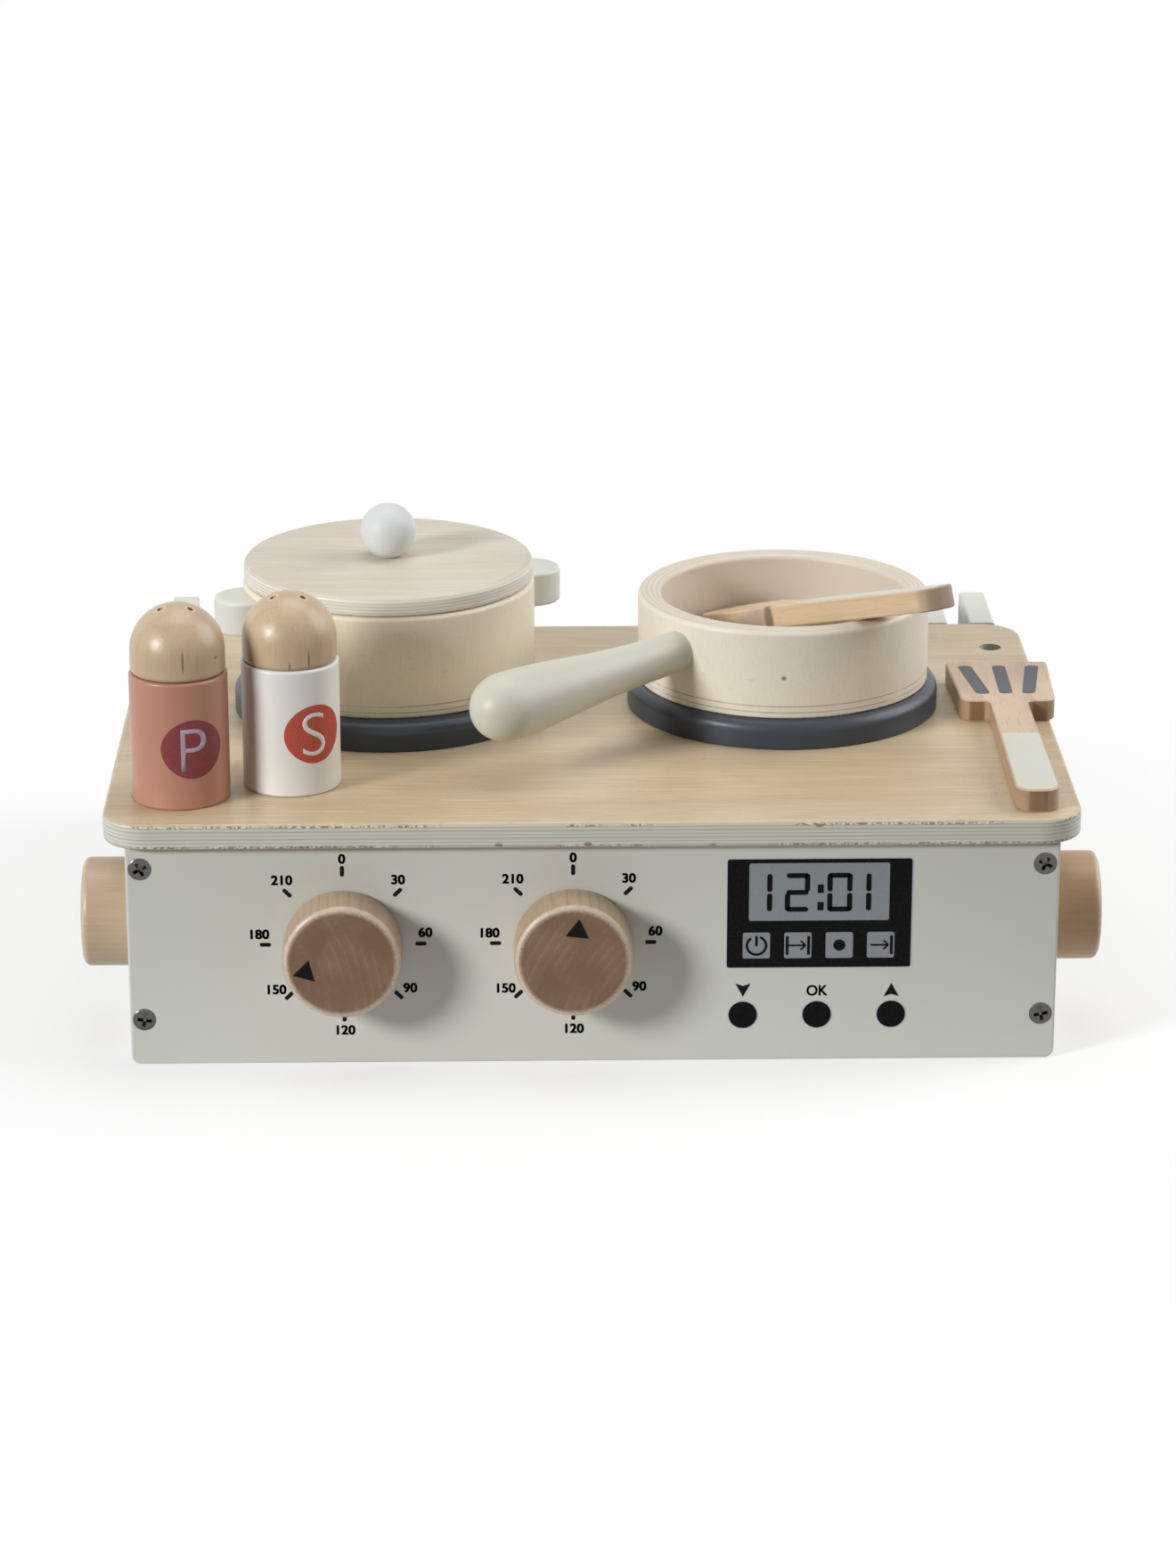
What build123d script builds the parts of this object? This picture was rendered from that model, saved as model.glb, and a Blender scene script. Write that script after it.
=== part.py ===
from build123d import *
import math
import os

# A tabletop play kitchen: a shallow hob box of painted boards under a plywood
# worktop, with two turning knobs, two burner discs, a lidded pot, a frying pan,
# a spoon, a spatula and two shakers.
# Lengths are in millimetres and angles in degrees.
# +X is to the user's right, +Y goes away from the user and +Z is up.
# The origin lies on the table, under the middle of the whole object.

# Worktop
WORKTOP_WIDTH = 400.0
WORKTOP_DEPTH = 270.0
WORKTOP_THICKNESS = 11.0
WORKTOP_CORNER_RADIUS = 18.0
WORKTOP_EDGE_RADIUS = 1.5

# Box under the worktop
PANEL_WIDTH = 381.0
PANEL_HEIGHT = 95.0
PANEL_THICKNESS = 12.0
PANEL_SETBACK = 4.0
PANEL_CORNER_RADIUS = 4.0
PANEL_EDGE_RADIUS = 1.0
SIDE_THICKNESS = 12.0
SIDE_EDGE_RADIUS = 1.3
RAIL_THICKNESS = 12.0
RAIL_HEIGHT = 60.0
RAIL_INSET = 12.0

# Arms behind the worktop, with a slot between each outer and inner one
ARM_LENGTH = 50.0
ARM_GAP = 0.5
SLOT_WIDTH = 9.5
INNER_ARM_THICKNESS = 12.0
INNER_ARM_HEIGHT = 60.0

# Burner discs
BURNER_DIAMETER = 135.0
BURNER_THICKNESS = 12.5
BURNER_EDGE_RADIUS = 5.0
BURNER_FOOT_RADIUS = 0.6
BURNER_SPACING = 171.0
BURNER_FROM_FRONT = 157.0

# Turning knobs on the front
KNOB_DIAMETER = 48.5
KNOB_LENGTH = 20.0
KNOB_EDGE_RADIUS = 2.6
KNOB_BACK_RADIUS = 0.8
KNOB_GAP = 0.5
KNOB_AXIS_HEIGHT = 52.0
LEFT_KNOB_X = -102.4
RIGHT_KNOB_X = -8.3
SPINDLE_DIAMETER = 6.0
SPINDLE_IN_KNOB = 13.0
SPINDLE_RUNNING_FIT = 0.08
SPINDLE_END_LENGTH = 2.0
SPINDLE_END_CHAMFER = 0.6
WASHER_DIAMETER = 18.0
WASHER_THICKNESS = 1.6
WASHER_GAP = 0.3
NUT_ACROSS_FLATS = 10.0
NUT_THICKNESS = 6.0
GLUE_FIT = 0.05

# Fixed round knobs on the sides
SIDE_KNOB_DIAMETER = 45.4
SIDE_KNOB_LENGTH = 21.0
SIDE_KNOB_EDGE_RADIUS = 3.0
SIDE_KNOB_BACK_RADIUS = 0.8
SIDE_KNOB_HEIGHT = 51.5
SIDE_KNOB_FROM_PANEL = 43.0

# Screws
SCREW_DIAMETER = 4.0
SCREW_FIT = 0.05
FRONT_SCREW_HEAD_DIAMETER = 9.6
FRONT_SCREW_HEAD_DEPTH = 3.2
FRONT_SCREW_LENGTH = 28.0
FRONT_SCREW_TOP_DROP = 9.4
FRONT_SCREW_BOTTOM_RISE = 19.8
ROUND_HEAD_DIAMETER = 8.2
ROUND_HEAD_THICKNESS = 2.6
ROUND_HEAD_EDGE_RADIUS = 1.0
WORKTOP_HOLE_DIAMETER = 9.8
WORKTOP_HOLE_DEPTH = 5.0
WORKTOP_SCREW_LENGTH = 30.0
WORKTOP_SCREW_INSET = 37.0
BURNER_SCREW_LENGTH = 19.0
BURNER_SCREW_SPACING = 70.0
SIDE_SCREW_LENGTH = 30.0

# Dowels
DOWEL_DIAMETER = 8.0
DOWEL_LENGTH = 30.0
DOWEL_IN_BOARD = 9.0
DOWEL_END_GAP = 0.5
DOWEL_CHAMFER = 0.8
RAIL_DOWEL_SPACING = 40.0
ARM_DOWEL_SPACING = 16.0

# Pot and pan bodies
VESSEL_DIAMETER = 126.0
VESSEL_WALL = 10.0
VESSEL_BASE_THICKNESS = 6.0
VESSEL_BASE_EDGE_RADIUS = 0.8
VESSEL_RIM_RADIUS = 2.5
POT_HEIGHT = 45.0
PAN_HEIGHT = 38.5
POT_BEHIND_BURNER = 3.0

# Ear handles of the pot
EAR_ANGLE = 19.0
EAR_REACH = 15.0
EAR_WIDTH = 26.0
EAR_THICKNESS = 15.0
EAR_BELOW_RIM = 2.5
EAR_EDGE_RADIUS = 1.5
EAR_DOWEL_LENGTH = 18.0
EAR_DOWEL_IN_WALL = 8.0

# Lid of the pot
LID_DIAMETER = 125.0
LID_THICKNESS = 8.5
LID_TOP_RADIUS = 3.0
LID_BOTTOM_RADIUS = 1.2
LID_INSERT_CLEARANCE = 1.0
LID_INSERT_THICKNESS = 6.0
LID_INSERT_EDGE_RADIUS = 1.0
BALL_DIAMETER = 24.0
BALL_FLAT = 0.6
LID_SCREW_IN_BALL = 12.0
LID_SCREW_SINK = 3.0
LID_SCREW_POCKET_DIAMETER = 9.8

# Handle of the pan
PAN_HANDLE_ANGLE = 221.3
PAN_HANDLE_DROP = 1.9
PAN_HANDLE_HEIGHT = 25.7
PAN_HANDLE_NECK_DIAMETER = 17.5
PAN_HANDLE_WAIST_DIAMETER = 20.8
PAN_HANDLE_WAIST_AT = 45.0
PAN_HANDLE_FULL_DIAMETER = 28.8
PAN_HANDLE_FULL_AT = 97.5
PAN_HANDLE_TIP_LENGTH = 16.0
PAN_TENON_DIAMETER = 10.0
PAN_TENON_SHORT_OF_BORE = 1.0

# Spoon and spatula
TOOL_THICKNESS = 9.6
TOOL_EDGE_RADIUS = 0.6
TOOL_REST_GAP = 0.3
SPOON_LENGTH = 160.5
SPOON_HEADING = -54.6
SPOON_TIP_X = -26.0
SPOON_TIP_Y = 40.9
SPOON_HEAD_LENGTH = 50.0
SPOON_HEAD_WIDTH = 36.0
SPOON_HANDLE_WIDTH = 17.0
SPOON_SHOULDER_RADIUS = 6.0
SPOON_END_RADIUS = 7.0
SPATULA_LENGTH = 172.5
SPATULA_X = 181.5
SPATULA_FROM_FRONT = 9.0
SPATULA_HEAD_LENGTH = 55.0
SPATULA_TIP_WIDTH = 44.8
SPATULA_HEAD_WIDTH = 40.4
SPATULA_NECK_WIDTH = 16.2
SPATULA_HANDLE_WIDTH = 18.0
SPATULA_TIP_RADIUS = 2.0
SPATULA_HEAD_RADIUS = 5.0
SPATULA_NECK_RADIUS = 3.0
SPATULA_END_RADIUS = 7.0

# Shakers
SHAKER_DIAMETER = 40.4
SHAKER_BODY_HEIGHT = 54.0
SHAKER_TOP_RADIUS = 1.2
SHAKER_FOOT_RADIUS = 1.0
CAP_DIAMETER = 39.0
CAP_HEIGHT = 28.4
CAP_FOOT_RADIUS = 2.0
CAP_PEG_DIAMETER = 14.0
CAP_PEG_LENGTH = 12.0
CAP_PEG_END_GAP = 1.0
CAP_HOLE_COUNT = 3
CAP_HOLE_DIAMETER = 2.8
CAP_HOLE_DEPTH = 6.0
CAP_HOLE_CIRCLE_RADIUS = 7.0
CAP_HOLE_FIRST_ANGLE = 90.0
PEPPER_X = -169.0
PEPPER_FROM_FRONT = 37.5
SALT_X = -124.0
SALT_FROM_FRONT = 53.0

# Places worked out from the sizes above
OVERALL_DEPTH = KNOB_GAP + KNOB_LENGTH + WORKTOP_DEPTH - PANEL_SETBACK + ARM_LENGTH
PANEL_FRONT = -OVERALL_DEPTH / 2 + KNOB_LENGTH + KNOB_GAP
PANEL_BACK = PANEL_FRONT + PANEL_THICKNESS
WORKTOP_FRONT = PANEL_FRONT - PANEL_SETBACK
WORKTOP_REAR = WORKTOP_FRONT + WORKTOP_DEPTH
WORKTOP_TOP = PANEL_HEIGHT + WORKTOP_THICKNESS
ARM_END = WORKTOP_REAR + ARM_LENGTH
ARM_STEP = WORKTOP_REAR + ARM_GAP
SIDE_OUTER = PANEL_WIDTH / 2
SIDE_INNER = SIDE_OUTER - SIDE_THICKNESS
SIDE_MIDDLE = SIDE_OUTER - SIDE_THICKNESS / 2
RAIL_BACK = WORKTOP_REAR - RAIL_INSET
RAIL_MIDDLE_HEIGHT = PANEL_HEIGHT - RAIL_HEIGHT / 2
INNER_ARM_OUTER = SIDE_INNER - SLOT_WIDTH
INNER_ARM_MIDDLE = INNER_ARM_OUTER - INNER_ARM_THICKNESS / 2
BURNER_Y = WORKTOP_FRONT + BURNER_FROM_FRONT
BURNER_X = BURNER_SPACING / 2
BURNER_TOP = WORKTOP_TOP + BURNER_THICKNESS
SIDE_KNOB_Y = PANEL_FRONT + SIDE_KNOB_FROM_PANEL
KNOB_BACK = PANEL_FRONT - KNOB_GAP
VESSEL_RADIUS = VESSEL_DIAMETER / 2
VESSEL_INNER_RADIUS = VESSEL_RADIUS - VESSEL_WALL
VESSEL_FLOOR = BURNER_TOP + VESSEL_BASE_THICKNESS
POT_X = -BURNER_X
POT_Y = BURNER_Y + POT_BEHIND_BURNER
PAN_X = BURNER_X
PAN_Y = BURNER_Y
POT_RIM = BURNER_TOP + POT_HEIGHT
PAN_RIM = BURNER_TOP + PAN_HEIGHT
EAR_TOP = POT_RIM - EAR_BELOW_RIM
EAR_MIDDLE_HEIGHT = EAR_TOP - EAR_THICKNESS / 2
LID_TOP = POT_RIM + LID_THICKNESS
BALL_CENTRE_HEIGHT = LID_TOP + BALL_DIAMETER / 2 - BALL_FLAT
SCREW_HOLE_RADIUS = SCREW_DIAMETER / 2 + SCREW_FIT
DOWEL_HOLE_RADIUS = DOWEL_DIAMETER / 2 + GLUE_FIT
PEPPER_Y = WORKTOP_FRONT + PEPPER_FROM_FRONT
SALT_Y = WORKTOP_FRONT + SALT_FROM_FRONT
RAIL_DOWEL_HEIGHTS = [
    RAIL_MIDDLE_HEIGHT - RAIL_DOWEL_SPACING / 2,
    RAIL_MIDDLE_HEIGHT + RAIL_DOWEL_SPACING / 2,
]
ARM_DOWEL_HEIGHTS = [
    RAIL_MIDDLE_HEIGHT - ARM_DOWEL_SPACING / 2,
    RAIL_MIDDLE_HEIGHT + ARM_DOWEL_SPACING / 2,
]
SIDES = (-1, 1)

# Directions in which a piece modelled along +Z is laid
TO_FRONT = Rot(90, 0, 0)
TO_BACK = Rot(-90, 0, 0)
TO_RIGHT = Rot(0, 90, 0)
TO_LEFT = Rot(0, -90, 0)
TO_BELOW = Rot(180, 0, 0)
FROM_BASE = (Align.CENTER, Align.CENTER, Align.MIN)
FROM_TOP = (Align.CENTER, Align.CENTER, Align.MAX)
FROM_LEFT = (Align.MIN, Align.CENTER, Align.CENTER)


def sideways(side):
    return TO_RIGHT if side > 0 else TO_LEFT


def rod(radius, length):
    return Cylinder(radius, length, align=FROM_BASE)


def fillet_top(body, radius):
    top = body.faces().sort_by(Axis.Z)[-1]
    return fillet(top.edges(), radius)


def fillet_bottom(body, radius):
    bottom = body.faces().sort_by(Axis.Z)[0]
    return fillet(bottom.edges(), radius)


def rounded_disc(radius, thickness, top_radius, bottom_radius):
    disc = fillet_top(rod(radius, thickness), top_radius)
    return fillet_bottom(disc, bottom_radius)


# Screws and dowels, along Z, with the top of the head or the near end at Z = 0


def countersunk_shape(extra):
    head_radius = FRONT_SCREW_HEAD_DIAMETER / 2 + extra
    shank_radius = SCREW_DIAMETER / 2 + extra
    head = Cone(shank_radius, head_radius, FRONT_SCREW_HEAD_DEPTH, align=FROM_TOP)
    shank = Cylinder(shank_radius, FRONT_SCREW_LENGTH + extra, align=FROM_TOP)
    return head + shank


def round_head_screw(length):
    head = fillet_top(rod(ROUND_HEAD_DIAMETER / 2, ROUND_HEAD_THICKNESS), ROUND_HEAD_EDGE_RADIUS)
    shank = Cylinder(SCREW_DIAMETER / 2, length, align=FROM_TOP)
    return head + shank


def round_head_screw_hole(length):
    return Cylinder(SCREW_HOLE_RADIUS, length + SCREW_FIT, align=FROM_TOP)


def dowel(length):
    pin = rod(DOWEL_DIAMETER / 2, length)
    return chamfer(pin.edges().filter_by(GeomType.CIRCLE), DOWEL_CHAMFER)


def dowel_hole(length):
    depth = length + 2 * DOWEL_END_GAP
    return Pos(0, 0, -DOWEL_END_GAP) * rod(DOWEL_HOLE_RADIUS, depth)


# Places of the fasteners


def front_screw_places():
    heights = (PANEL_HEIGHT - FRONT_SCREW_TOP_DROP, FRONT_SCREW_BOTTOM_RISE)
    return [
        Pos(side * SIDE_MIDDLE, PANEL_FRONT, height) * TO_FRONT
        for side in SIDES
        for height in heights
    ]


def worktop_screw_places():
    depths = (WORKTOP_FRONT + WORKTOP_SCREW_INSET, WORKTOP_REAR - WORKTOP_SCREW_INSET)
    seat = WORKTOP_TOP - WORKTOP_HOLE_DEPTH
    return [Pos(side * SIDE_MIDDLE, depth, seat) for side in SIDES for depth in depths]


def burner_screw_places():
    return [
        Pos(side * BURNER_X + half * BURNER_SCREW_SPACING / 2, BURNER_Y, PANEL_HEIGHT) * TO_BELOW
        for side in SIDES
        for half in SIDES
    ]


def side_screw_places():
    return [
        Pos(side * SIDE_INNER, SIDE_KNOB_Y, SIDE_KNOB_HEIGHT) * sideways(-side)
        for side in SIDES
    ]


def rail_dowel_places(side):
    start = SIDE_INNER + DOWEL_IN_BOARD
    return [
        Pos(side * start, RAIL_BACK - RAIL_THICKNESS / 2, height) * sideways(-side)
        for height in RAIL_DOWEL_HEIGHTS
    ]


def arm_dowel_places(side):
    start = RAIL_BACK - DOWEL_IN_BOARD
    return [Pos(side * INNER_ARM_MIDDLE, start, height) * TO_BACK for height in ARM_DOWEL_HEIGHTS]


def placed(places, shape):
    return [place * shape for place in places]


# Boards


def worktop():
    outline = RectangleRounded(WORKTOP_WIDTH, WORKTOP_DEPTH, WORKTOP_CORNER_RADIUS)
    board = extrude(outline, WORKTOP_THICKNESS)
    board = fillet_bottom(fillet_top(board, WORKTOP_EDGE_RADIUS), WORKTOP_EDGE_RADIUS)
    board = Pos(0, (WORKTOP_FRONT + WORKTOP_REAR) / 2, PANEL_HEIGHT) * board
    counterbore = rod(WORKTOP_HOLE_DIAMETER / 2, WORKTOP_HOLE_DEPTH)
    board -= placed(worktop_screw_places(), counterbore)
    board -= placed(worktop_screw_places(), round_head_screw_hole(WORKTOP_SCREW_LENGTH))
    board -= placed(burner_screw_places(), round_head_screw_hole(BURNER_SCREW_LENGTH))
    return board


def front_panel():
    board = Box(PANEL_WIDTH, PANEL_THICKNESS, PANEL_HEIGHT, align=FROM_BASE)
    board = Pos(0, PANEL_FRONT + PANEL_THICKNESS / 2, 0) * board
    lower_corners = board.edges().filter_by(Axis.Y).sort_by(Axis.Z)[:2]
    board = fillet(lower_corners, PANEL_CORNER_RADIUS)
    board = fillet(board.faces().sort_by(Axis.Y)[0].edges(), PANEL_EDGE_RADIUS)
    bore_radius = SPINDLE_DIAMETER / 2 + SPINDLE_RUNNING_FIT
    bore = TO_BACK * rod(bore_radius, PANEL_THICKNESS)
    for knob_x in (LEFT_KNOB_X, RIGHT_KNOB_X):
        board -= Pos(knob_x, PANEL_FRONT, KNOB_AXIS_HEIGHT) * bore
    return board - placed(front_screw_places(), countersunk_shape(SCREW_FIT))


def side_panel(side):
    profile = Polyline(
        (PANEL_BACK, 0),
        (ARM_END, 0),
        (ARM_END, WORKTOP_TOP),
        (ARM_STEP, WORKTOP_TOP),
        (ARM_STEP, PANEL_HEIGHT),
        (PANEL_BACK, PANEL_HEIGHT),
        close=True,
    )
    board = extrude(Plane.YZ * make_face(profile), SIDE_THICKNESS)
    behind = [edge for edge in board.edges() if edge.center().Y > ARM_STEP + ARM_LENGTH / 4]
    long_bottom = board.edges().filter_by(Axis.Y).sort_by(Axis.Z)[:2]
    board = fillet(behind + [edge for edge in long_bottom if edge not in behind], SIDE_EDGE_RADIUS)
    left_face = SIDE_INNER if side > 0 else -SIDE_OUTER
    board = Pos(left_face, 0, 0) * board
    board -= placed(front_screw_places(), countersunk_shape(SCREW_FIT))
    board -= placed(worktop_screw_places(), round_head_screw_hole(WORKTOP_SCREW_LENGTH))
    board -= placed(side_screw_places(), round_head_screw_hole(SIDE_SCREW_LENGTH))
    return board - placed(rail_dowel_places(side), dowel_hole(DOWEL_LENGTH))


def rear_rail():
    rail = Box(2 * SIDE_INNER, RAIL_THICKNESS, RAIL_HEIGHT)
    rail = Pos(0, RAIL_BACK - RAIL_THICKNESS / 2, RAIL_MIDDLE_HEIGHT) * rail
    for side in SIDES:
        rail -= placed(rail_dowel_places(side), dowel_hole(DOWEL_LENGTH))
        rail -= placed(arm_dowel_places(side), dowel_hole(DOWEL_LENGTH))
    return rail


def inner_arm(side):
    foot = WORKTOP_TOP - INNER_ARM_HEIGHT
    profile = Polyline(
        (RAIL_BACK, foot),
        (ARM_END, foot),
        (ARM_END, WORKTOP_TOP),
        (ARM_STEP, WORKTOP_TOP),
        (ARM_STEP, PANEL_HEIGHT),
        (RAIL_BACK, PANEL_HEIGHT),
        close=True,
    )
    board = extrude(Plane.YZ * make_face(profile), INNER_ARM_THICKNESS)
    behind = [edge for edge in board.edges() if edge.center().Y > ARM_STEP + ARM_LENGTH / 4]
    board = fillet(behind, SIDE_EDGE_RADIUS)
    board = Pos(side * INNER_ARM_MIDDLE - INNER_ARM_THICKNESS / 2, 0, 0) * board
    return board - placed(arm_dowel_places(side), dowel_hole(DOWEL_LENGTH))


# Dowels and screws


def rail_dowels():
    places = rail_dowel_places(-1) + rail_dowel_places(1)
    return Compound(children=placed(places, dowel(DOWEL_LENGTH)))


def arm_dowels():
    places = arm_dowel_places(-1) + arm_dowel_places(1)
    return Compound(children=placed(places, dowel(DOWEL_LENGTH)))


def front_screws():
    return Compound(children=placed(front_screw_places(), countersunk_shape(0)))


def worktop_screws():
    return Compound(children=placed(worktop_screw_places(), round_head_screw(WORKTOP_SCREW_LENGTH)))


def burner_screws():
    return Compound(children=placed(burner_screw_places(), round_head_screw(BURNER_SCREW_LENGTH)))


def side_knob_screws():
    return Compound(children=placed(side_screw_places(), round_head_screw(SIDE_SCREW_LENGTH)))


# Burners and knobs


def burner(side):
    disc = rounded_disc(BURNER_DIAMETER / 2, BURNER_THICKNESS, BURNER_EDGE_RADIUS, BURNER_FOOT_RADIUS)
    disc = Pos(side * BURNER_X, BURNER_Y, WORKTOP_TOP) * disc
    return disc - placed(burner_screw_places(), round_head_screw_hole(BURNER_SCREW_LENGTH))


def knob_place(knob_x):
    return Pos(knob_x, KNOB_BACK, KNOB_AXIS_HEIGHT) * TO_FRONT


def knob(knob_x):
    turned = rounded_disc(KNOB_DIAMETER / 2, KNOB_LENGTH, KNOB_EDGE_RADIUS, KNOB_BACK_RADIUS)
    turned -= rod(SPINDLE_DIAMETER / 2 + GLUE_FIT, SPINDLE_IN_KNOB)
    return knob_place(knob_x) * turned


def spindle_length_behind_knob():
    through_panel = KNOB_GAP + PANEL_THICKNESS + WASHER_GAP
    return through_panel + WASHER_THICKNESS + NUT_THICKNESS + SPINDLE_END_LENGTH


def knob_spindle(knob_x):
    behind = spindle_length_behind_knob()
    pin = Pos(0, 0, -behind) * rod(SPINDLE_DIAMETER / 2, behind + SPINDLE_IN_KNOB)
    end = pin.faces().sort_by(Axis.Z)[0]
    pin = chamfer(end.edges(), SPINDLE_END_CHAMFER)
    return knob_place(knob_x) * pin


def knob_washer(knob_x):
    washer = rod(WASHER_DIAMETER / 2, WASHER_THICKNESS)
    washer -= rod(SPINDLE_DIAMETER / 2 + GLUE_FIT, WASHER_THICKNESS)
    return Pos(knob_x, PANEL_BACK + WASHER_GAP, KNOB_AXIS_HEIGHT) * TO_BACK * washer


def knob_nut(knob_x):
    hexagon = RegularPolygon(NUT_ACROSS_FLATS / 2, 6, major_radius=False)
    nut = extrude(hexagon, NUT_THICKNESS) - rod(SPINDLE_DIAMETER / 2 + GLUE_FIT, NUT_THICKNESS)
    seat = PANEL_BACK + WASHER_GAP + WASHER_THICKNESS
    return Pos(knob_x, seat, KNOB_AXIS_HEIGHT) * TO_BACK * nut


def side_knob(side):
    turned = rounded_disc(
        SIDE_KNOB_DIAMETER / 2, SIDE_KNOB_LENGTH, SIDE_KNOB_EDGE_RADIUS, SIDE_KNOB_BACK_RADIUS
    )
    turned = Pos(side * SIDE_OUTER, SIDE_KNOB_Y, SIDE_KNOB_HEIGHT) * sideways(side) * turned
    return turned - placed(side_screw_places(), round_head_screw_hole(SIDE_SCREW_LENGTH))


# Pot and pan


def vessel_base(centre_x, centre_y):
    disc = rod(VESSEL_RADIUS, VESSEL_BASE_THICKNESS)
    disc = fillet_bottom(disc, VESSEL_BASE_EDGE_RADIUS)
    return Pos(centre_x, centre_y, BURNER_TOP) * disc


def vessel_wall(centre_x, centre_y, height):
    wall_height = height - VESSEL_BASE_THICKNESS
    wall = rod(VESSEL_RADIUS, wall_height) - rod(VESSEL_INNER_RADIUS, wall_height)
    wall = fillet_top(wall, VESSEL_RIM_RADIUS)
    return Pos(centre_x, centre_y, VESSEL_FLOOR) * wall


def ear_places():
    return [
        Pos(POT_X, POT_Y, EAR_MIDDLE_HEIGHT) * Rot(0, 0, EAR_ANGLE + turn)
        for turn in (180, 0)
    ]


def ear_dowel(extra_radius, end_gap):
    start = VESSEL_RADIUS - EAR_DOWEL_IN_WALL - end_gap
    pin = rod(DOWEL_DIAMETER / 2 + extra_radius, EAR_DOWEL_LENGTH + 2 * end_gap)
    return Pos(start, 0, 0) * TO_RIGHT * pin


def pot_wall():
    wall = vessel_wall(POT_X, POT_Y, POT_HEIGHT)
    return wall - placed(ear_places(), ear_dowel(GLUE_FIT, DOWEL_END_GAP))


def pot_ear(place):
    length = VESSEL_RADIUS + EAR_REACH
    straight = length - EAR_WIDTH / 2
    block = Box(straight, EAR_WIDTH, EAR_THICKNESS, align=FROM_LEFT)
    block += Pos(straight, 0, 0) * Cylinder(EAR_WIDTH / 2, EAR_THICKNESS)
    outline = block.faces().filter_by(Axis.Z).edges()
    block = fillet([edge for edge in outline if edge.center().X > 1], EAR_EDGE_RADIUS)
    block -= Cylinder(VESSEL_RADIUS, 2 * EAR_THICKNESS)
    block -= ear_dowel(GLUE_FIT, DOWEL_END_GAP)
    return place * block


def pot_ear_dowels():
    return Compound(children=placed(ear_places(), ear_dowel(0, 0)))


def lid_plate():
    plate = rounded_disc(LID_DIAMETER / 2, LID_THICKNESS, LID_TOP_RADIUS, LID_BOTTOM_RADIUS)
    return Pos(POT_X, POT_Y, POT_RIM) * (plate - rod(SCREW_HOLE_RADIUS, LID_THICKNESS))


def lid_insert():
    radius = VESSEL_INNER_RADIUS - LID_INSERT_CLEARANCE
    disc = fillet_bottom(rod(radius, LID_INSERT_THICKNESS), LID_INSERT_EDGE_RADIUS)
    disc -= rod(SCREW_HOLE_RADIUS, LID_INSERT_THICKNESS)
    disc -= rod(LID_SCREW_POCKET_DIAMETER / 2, LID_SCREW_SINK)
    return Pos(POT_X, POT_Y, POT_RIM - LID_INSERT_THICKNESS) * disc


def lid_ball():
    radius = BALL_DIAMETER / 2
    below_flat = rod(radius, BALL_FLAT)
    screw_hole = rod(SCREW_HOLE_RADIUS, BALL_FLAT + LID_SCREW_IN_BALL + SCREW_FIT)
    ball = Sphere(radius) - Pos(0, 0, -radius) * (below_flat + screw_hole)
    return Pos(POT_X, POT_Y, BALL_CENTRE_HEIGHT) * ball


def lid_screw():
    length = LID_INSERT_THICKNESS - LID_SCREW_SINK + LID_THICKNESS + LID_SCREW_IN_BALL
    seat = POT_RIM - LID_INSERT_THICKNESS + LID_SCREW_SINK
    return Pos(POT_X, POT_Y, seat) * TO_BELOW * round_head_screw(length)


def pan_handle_place():
    height = BURNER_TOP + PAN_HANDLE_HEIGHT
    return Pos(PAN_X, PAN_Y, height) * Rot(0, 0, PAN_HANDLE_ANGLE) * Rot(0, PAN_HANDLE_DROP, 0)


def pan_wall():
    wall = vessel_wall(PAN_X, PAN_Y, PAN_HEIGHT)
    bore = Pos(VESSEL_INNER_RADIUS - VESSEL_WALL / 2, 0, 0) * TO_RIGHT
    bore = bore * rod(PAN_TENON_DIAMETER / 2 + GLUE_FIT, 2 * VESSEL_WALL)
    return wall - pan_handle_place() * bore


def pan_handle():
    neck = (VESSEL_RADIUS - VESSEL_WALL / 2, PAN_HANDLE_NECK_DIAMETER / 2)
    waist = (VESSEL_RADIUS + PAN_HANDLE_WAIST_AT, PAN_HANDLE_WAIST_DIAMETER / 2)
    full = (VESSEL_RADIUS + PAN_HANDLE_FULL_AT, PAN_HANDLE_FULL_DIAMETER / 2)
    tip = (full[0] + PAN_HANDLE_TIP_LENGTH, 0)
    flank = Spline(neck, waist, full, tangents=[(1, 0), (1, 0)])
    nose = EllipticalCenterArc((full[0], 0), PAN_HANDLE_TIP_LENGTH, full[1], start_angle=0, arc_size=90)
    axis_line = Polyline(tip, (neck[0], 0), neck)
    turned = revolve(make_face(flank + nose + axis_line), Axis.X)
    turned = pan_handle_place() * turned
    turned -= Pos(PAN_X, PAN_Y, BURNER_TOP) * rod(VESSEL_RADIUS, 2 * PAN_HEIGHT)
    tenon_start = VESSEL_INNER_RADIUS + PAN_TENON_SHORT_OF_BORE
    tenon = Pos(tenon_start, 0, 0) * TO_RIGHT * rod(PAN_TENON_DIAMETER / 2, 2 * VESSEL_WALL)
    return turned + pan_handle_place() * tenon


# Spoon and spatula


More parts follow.
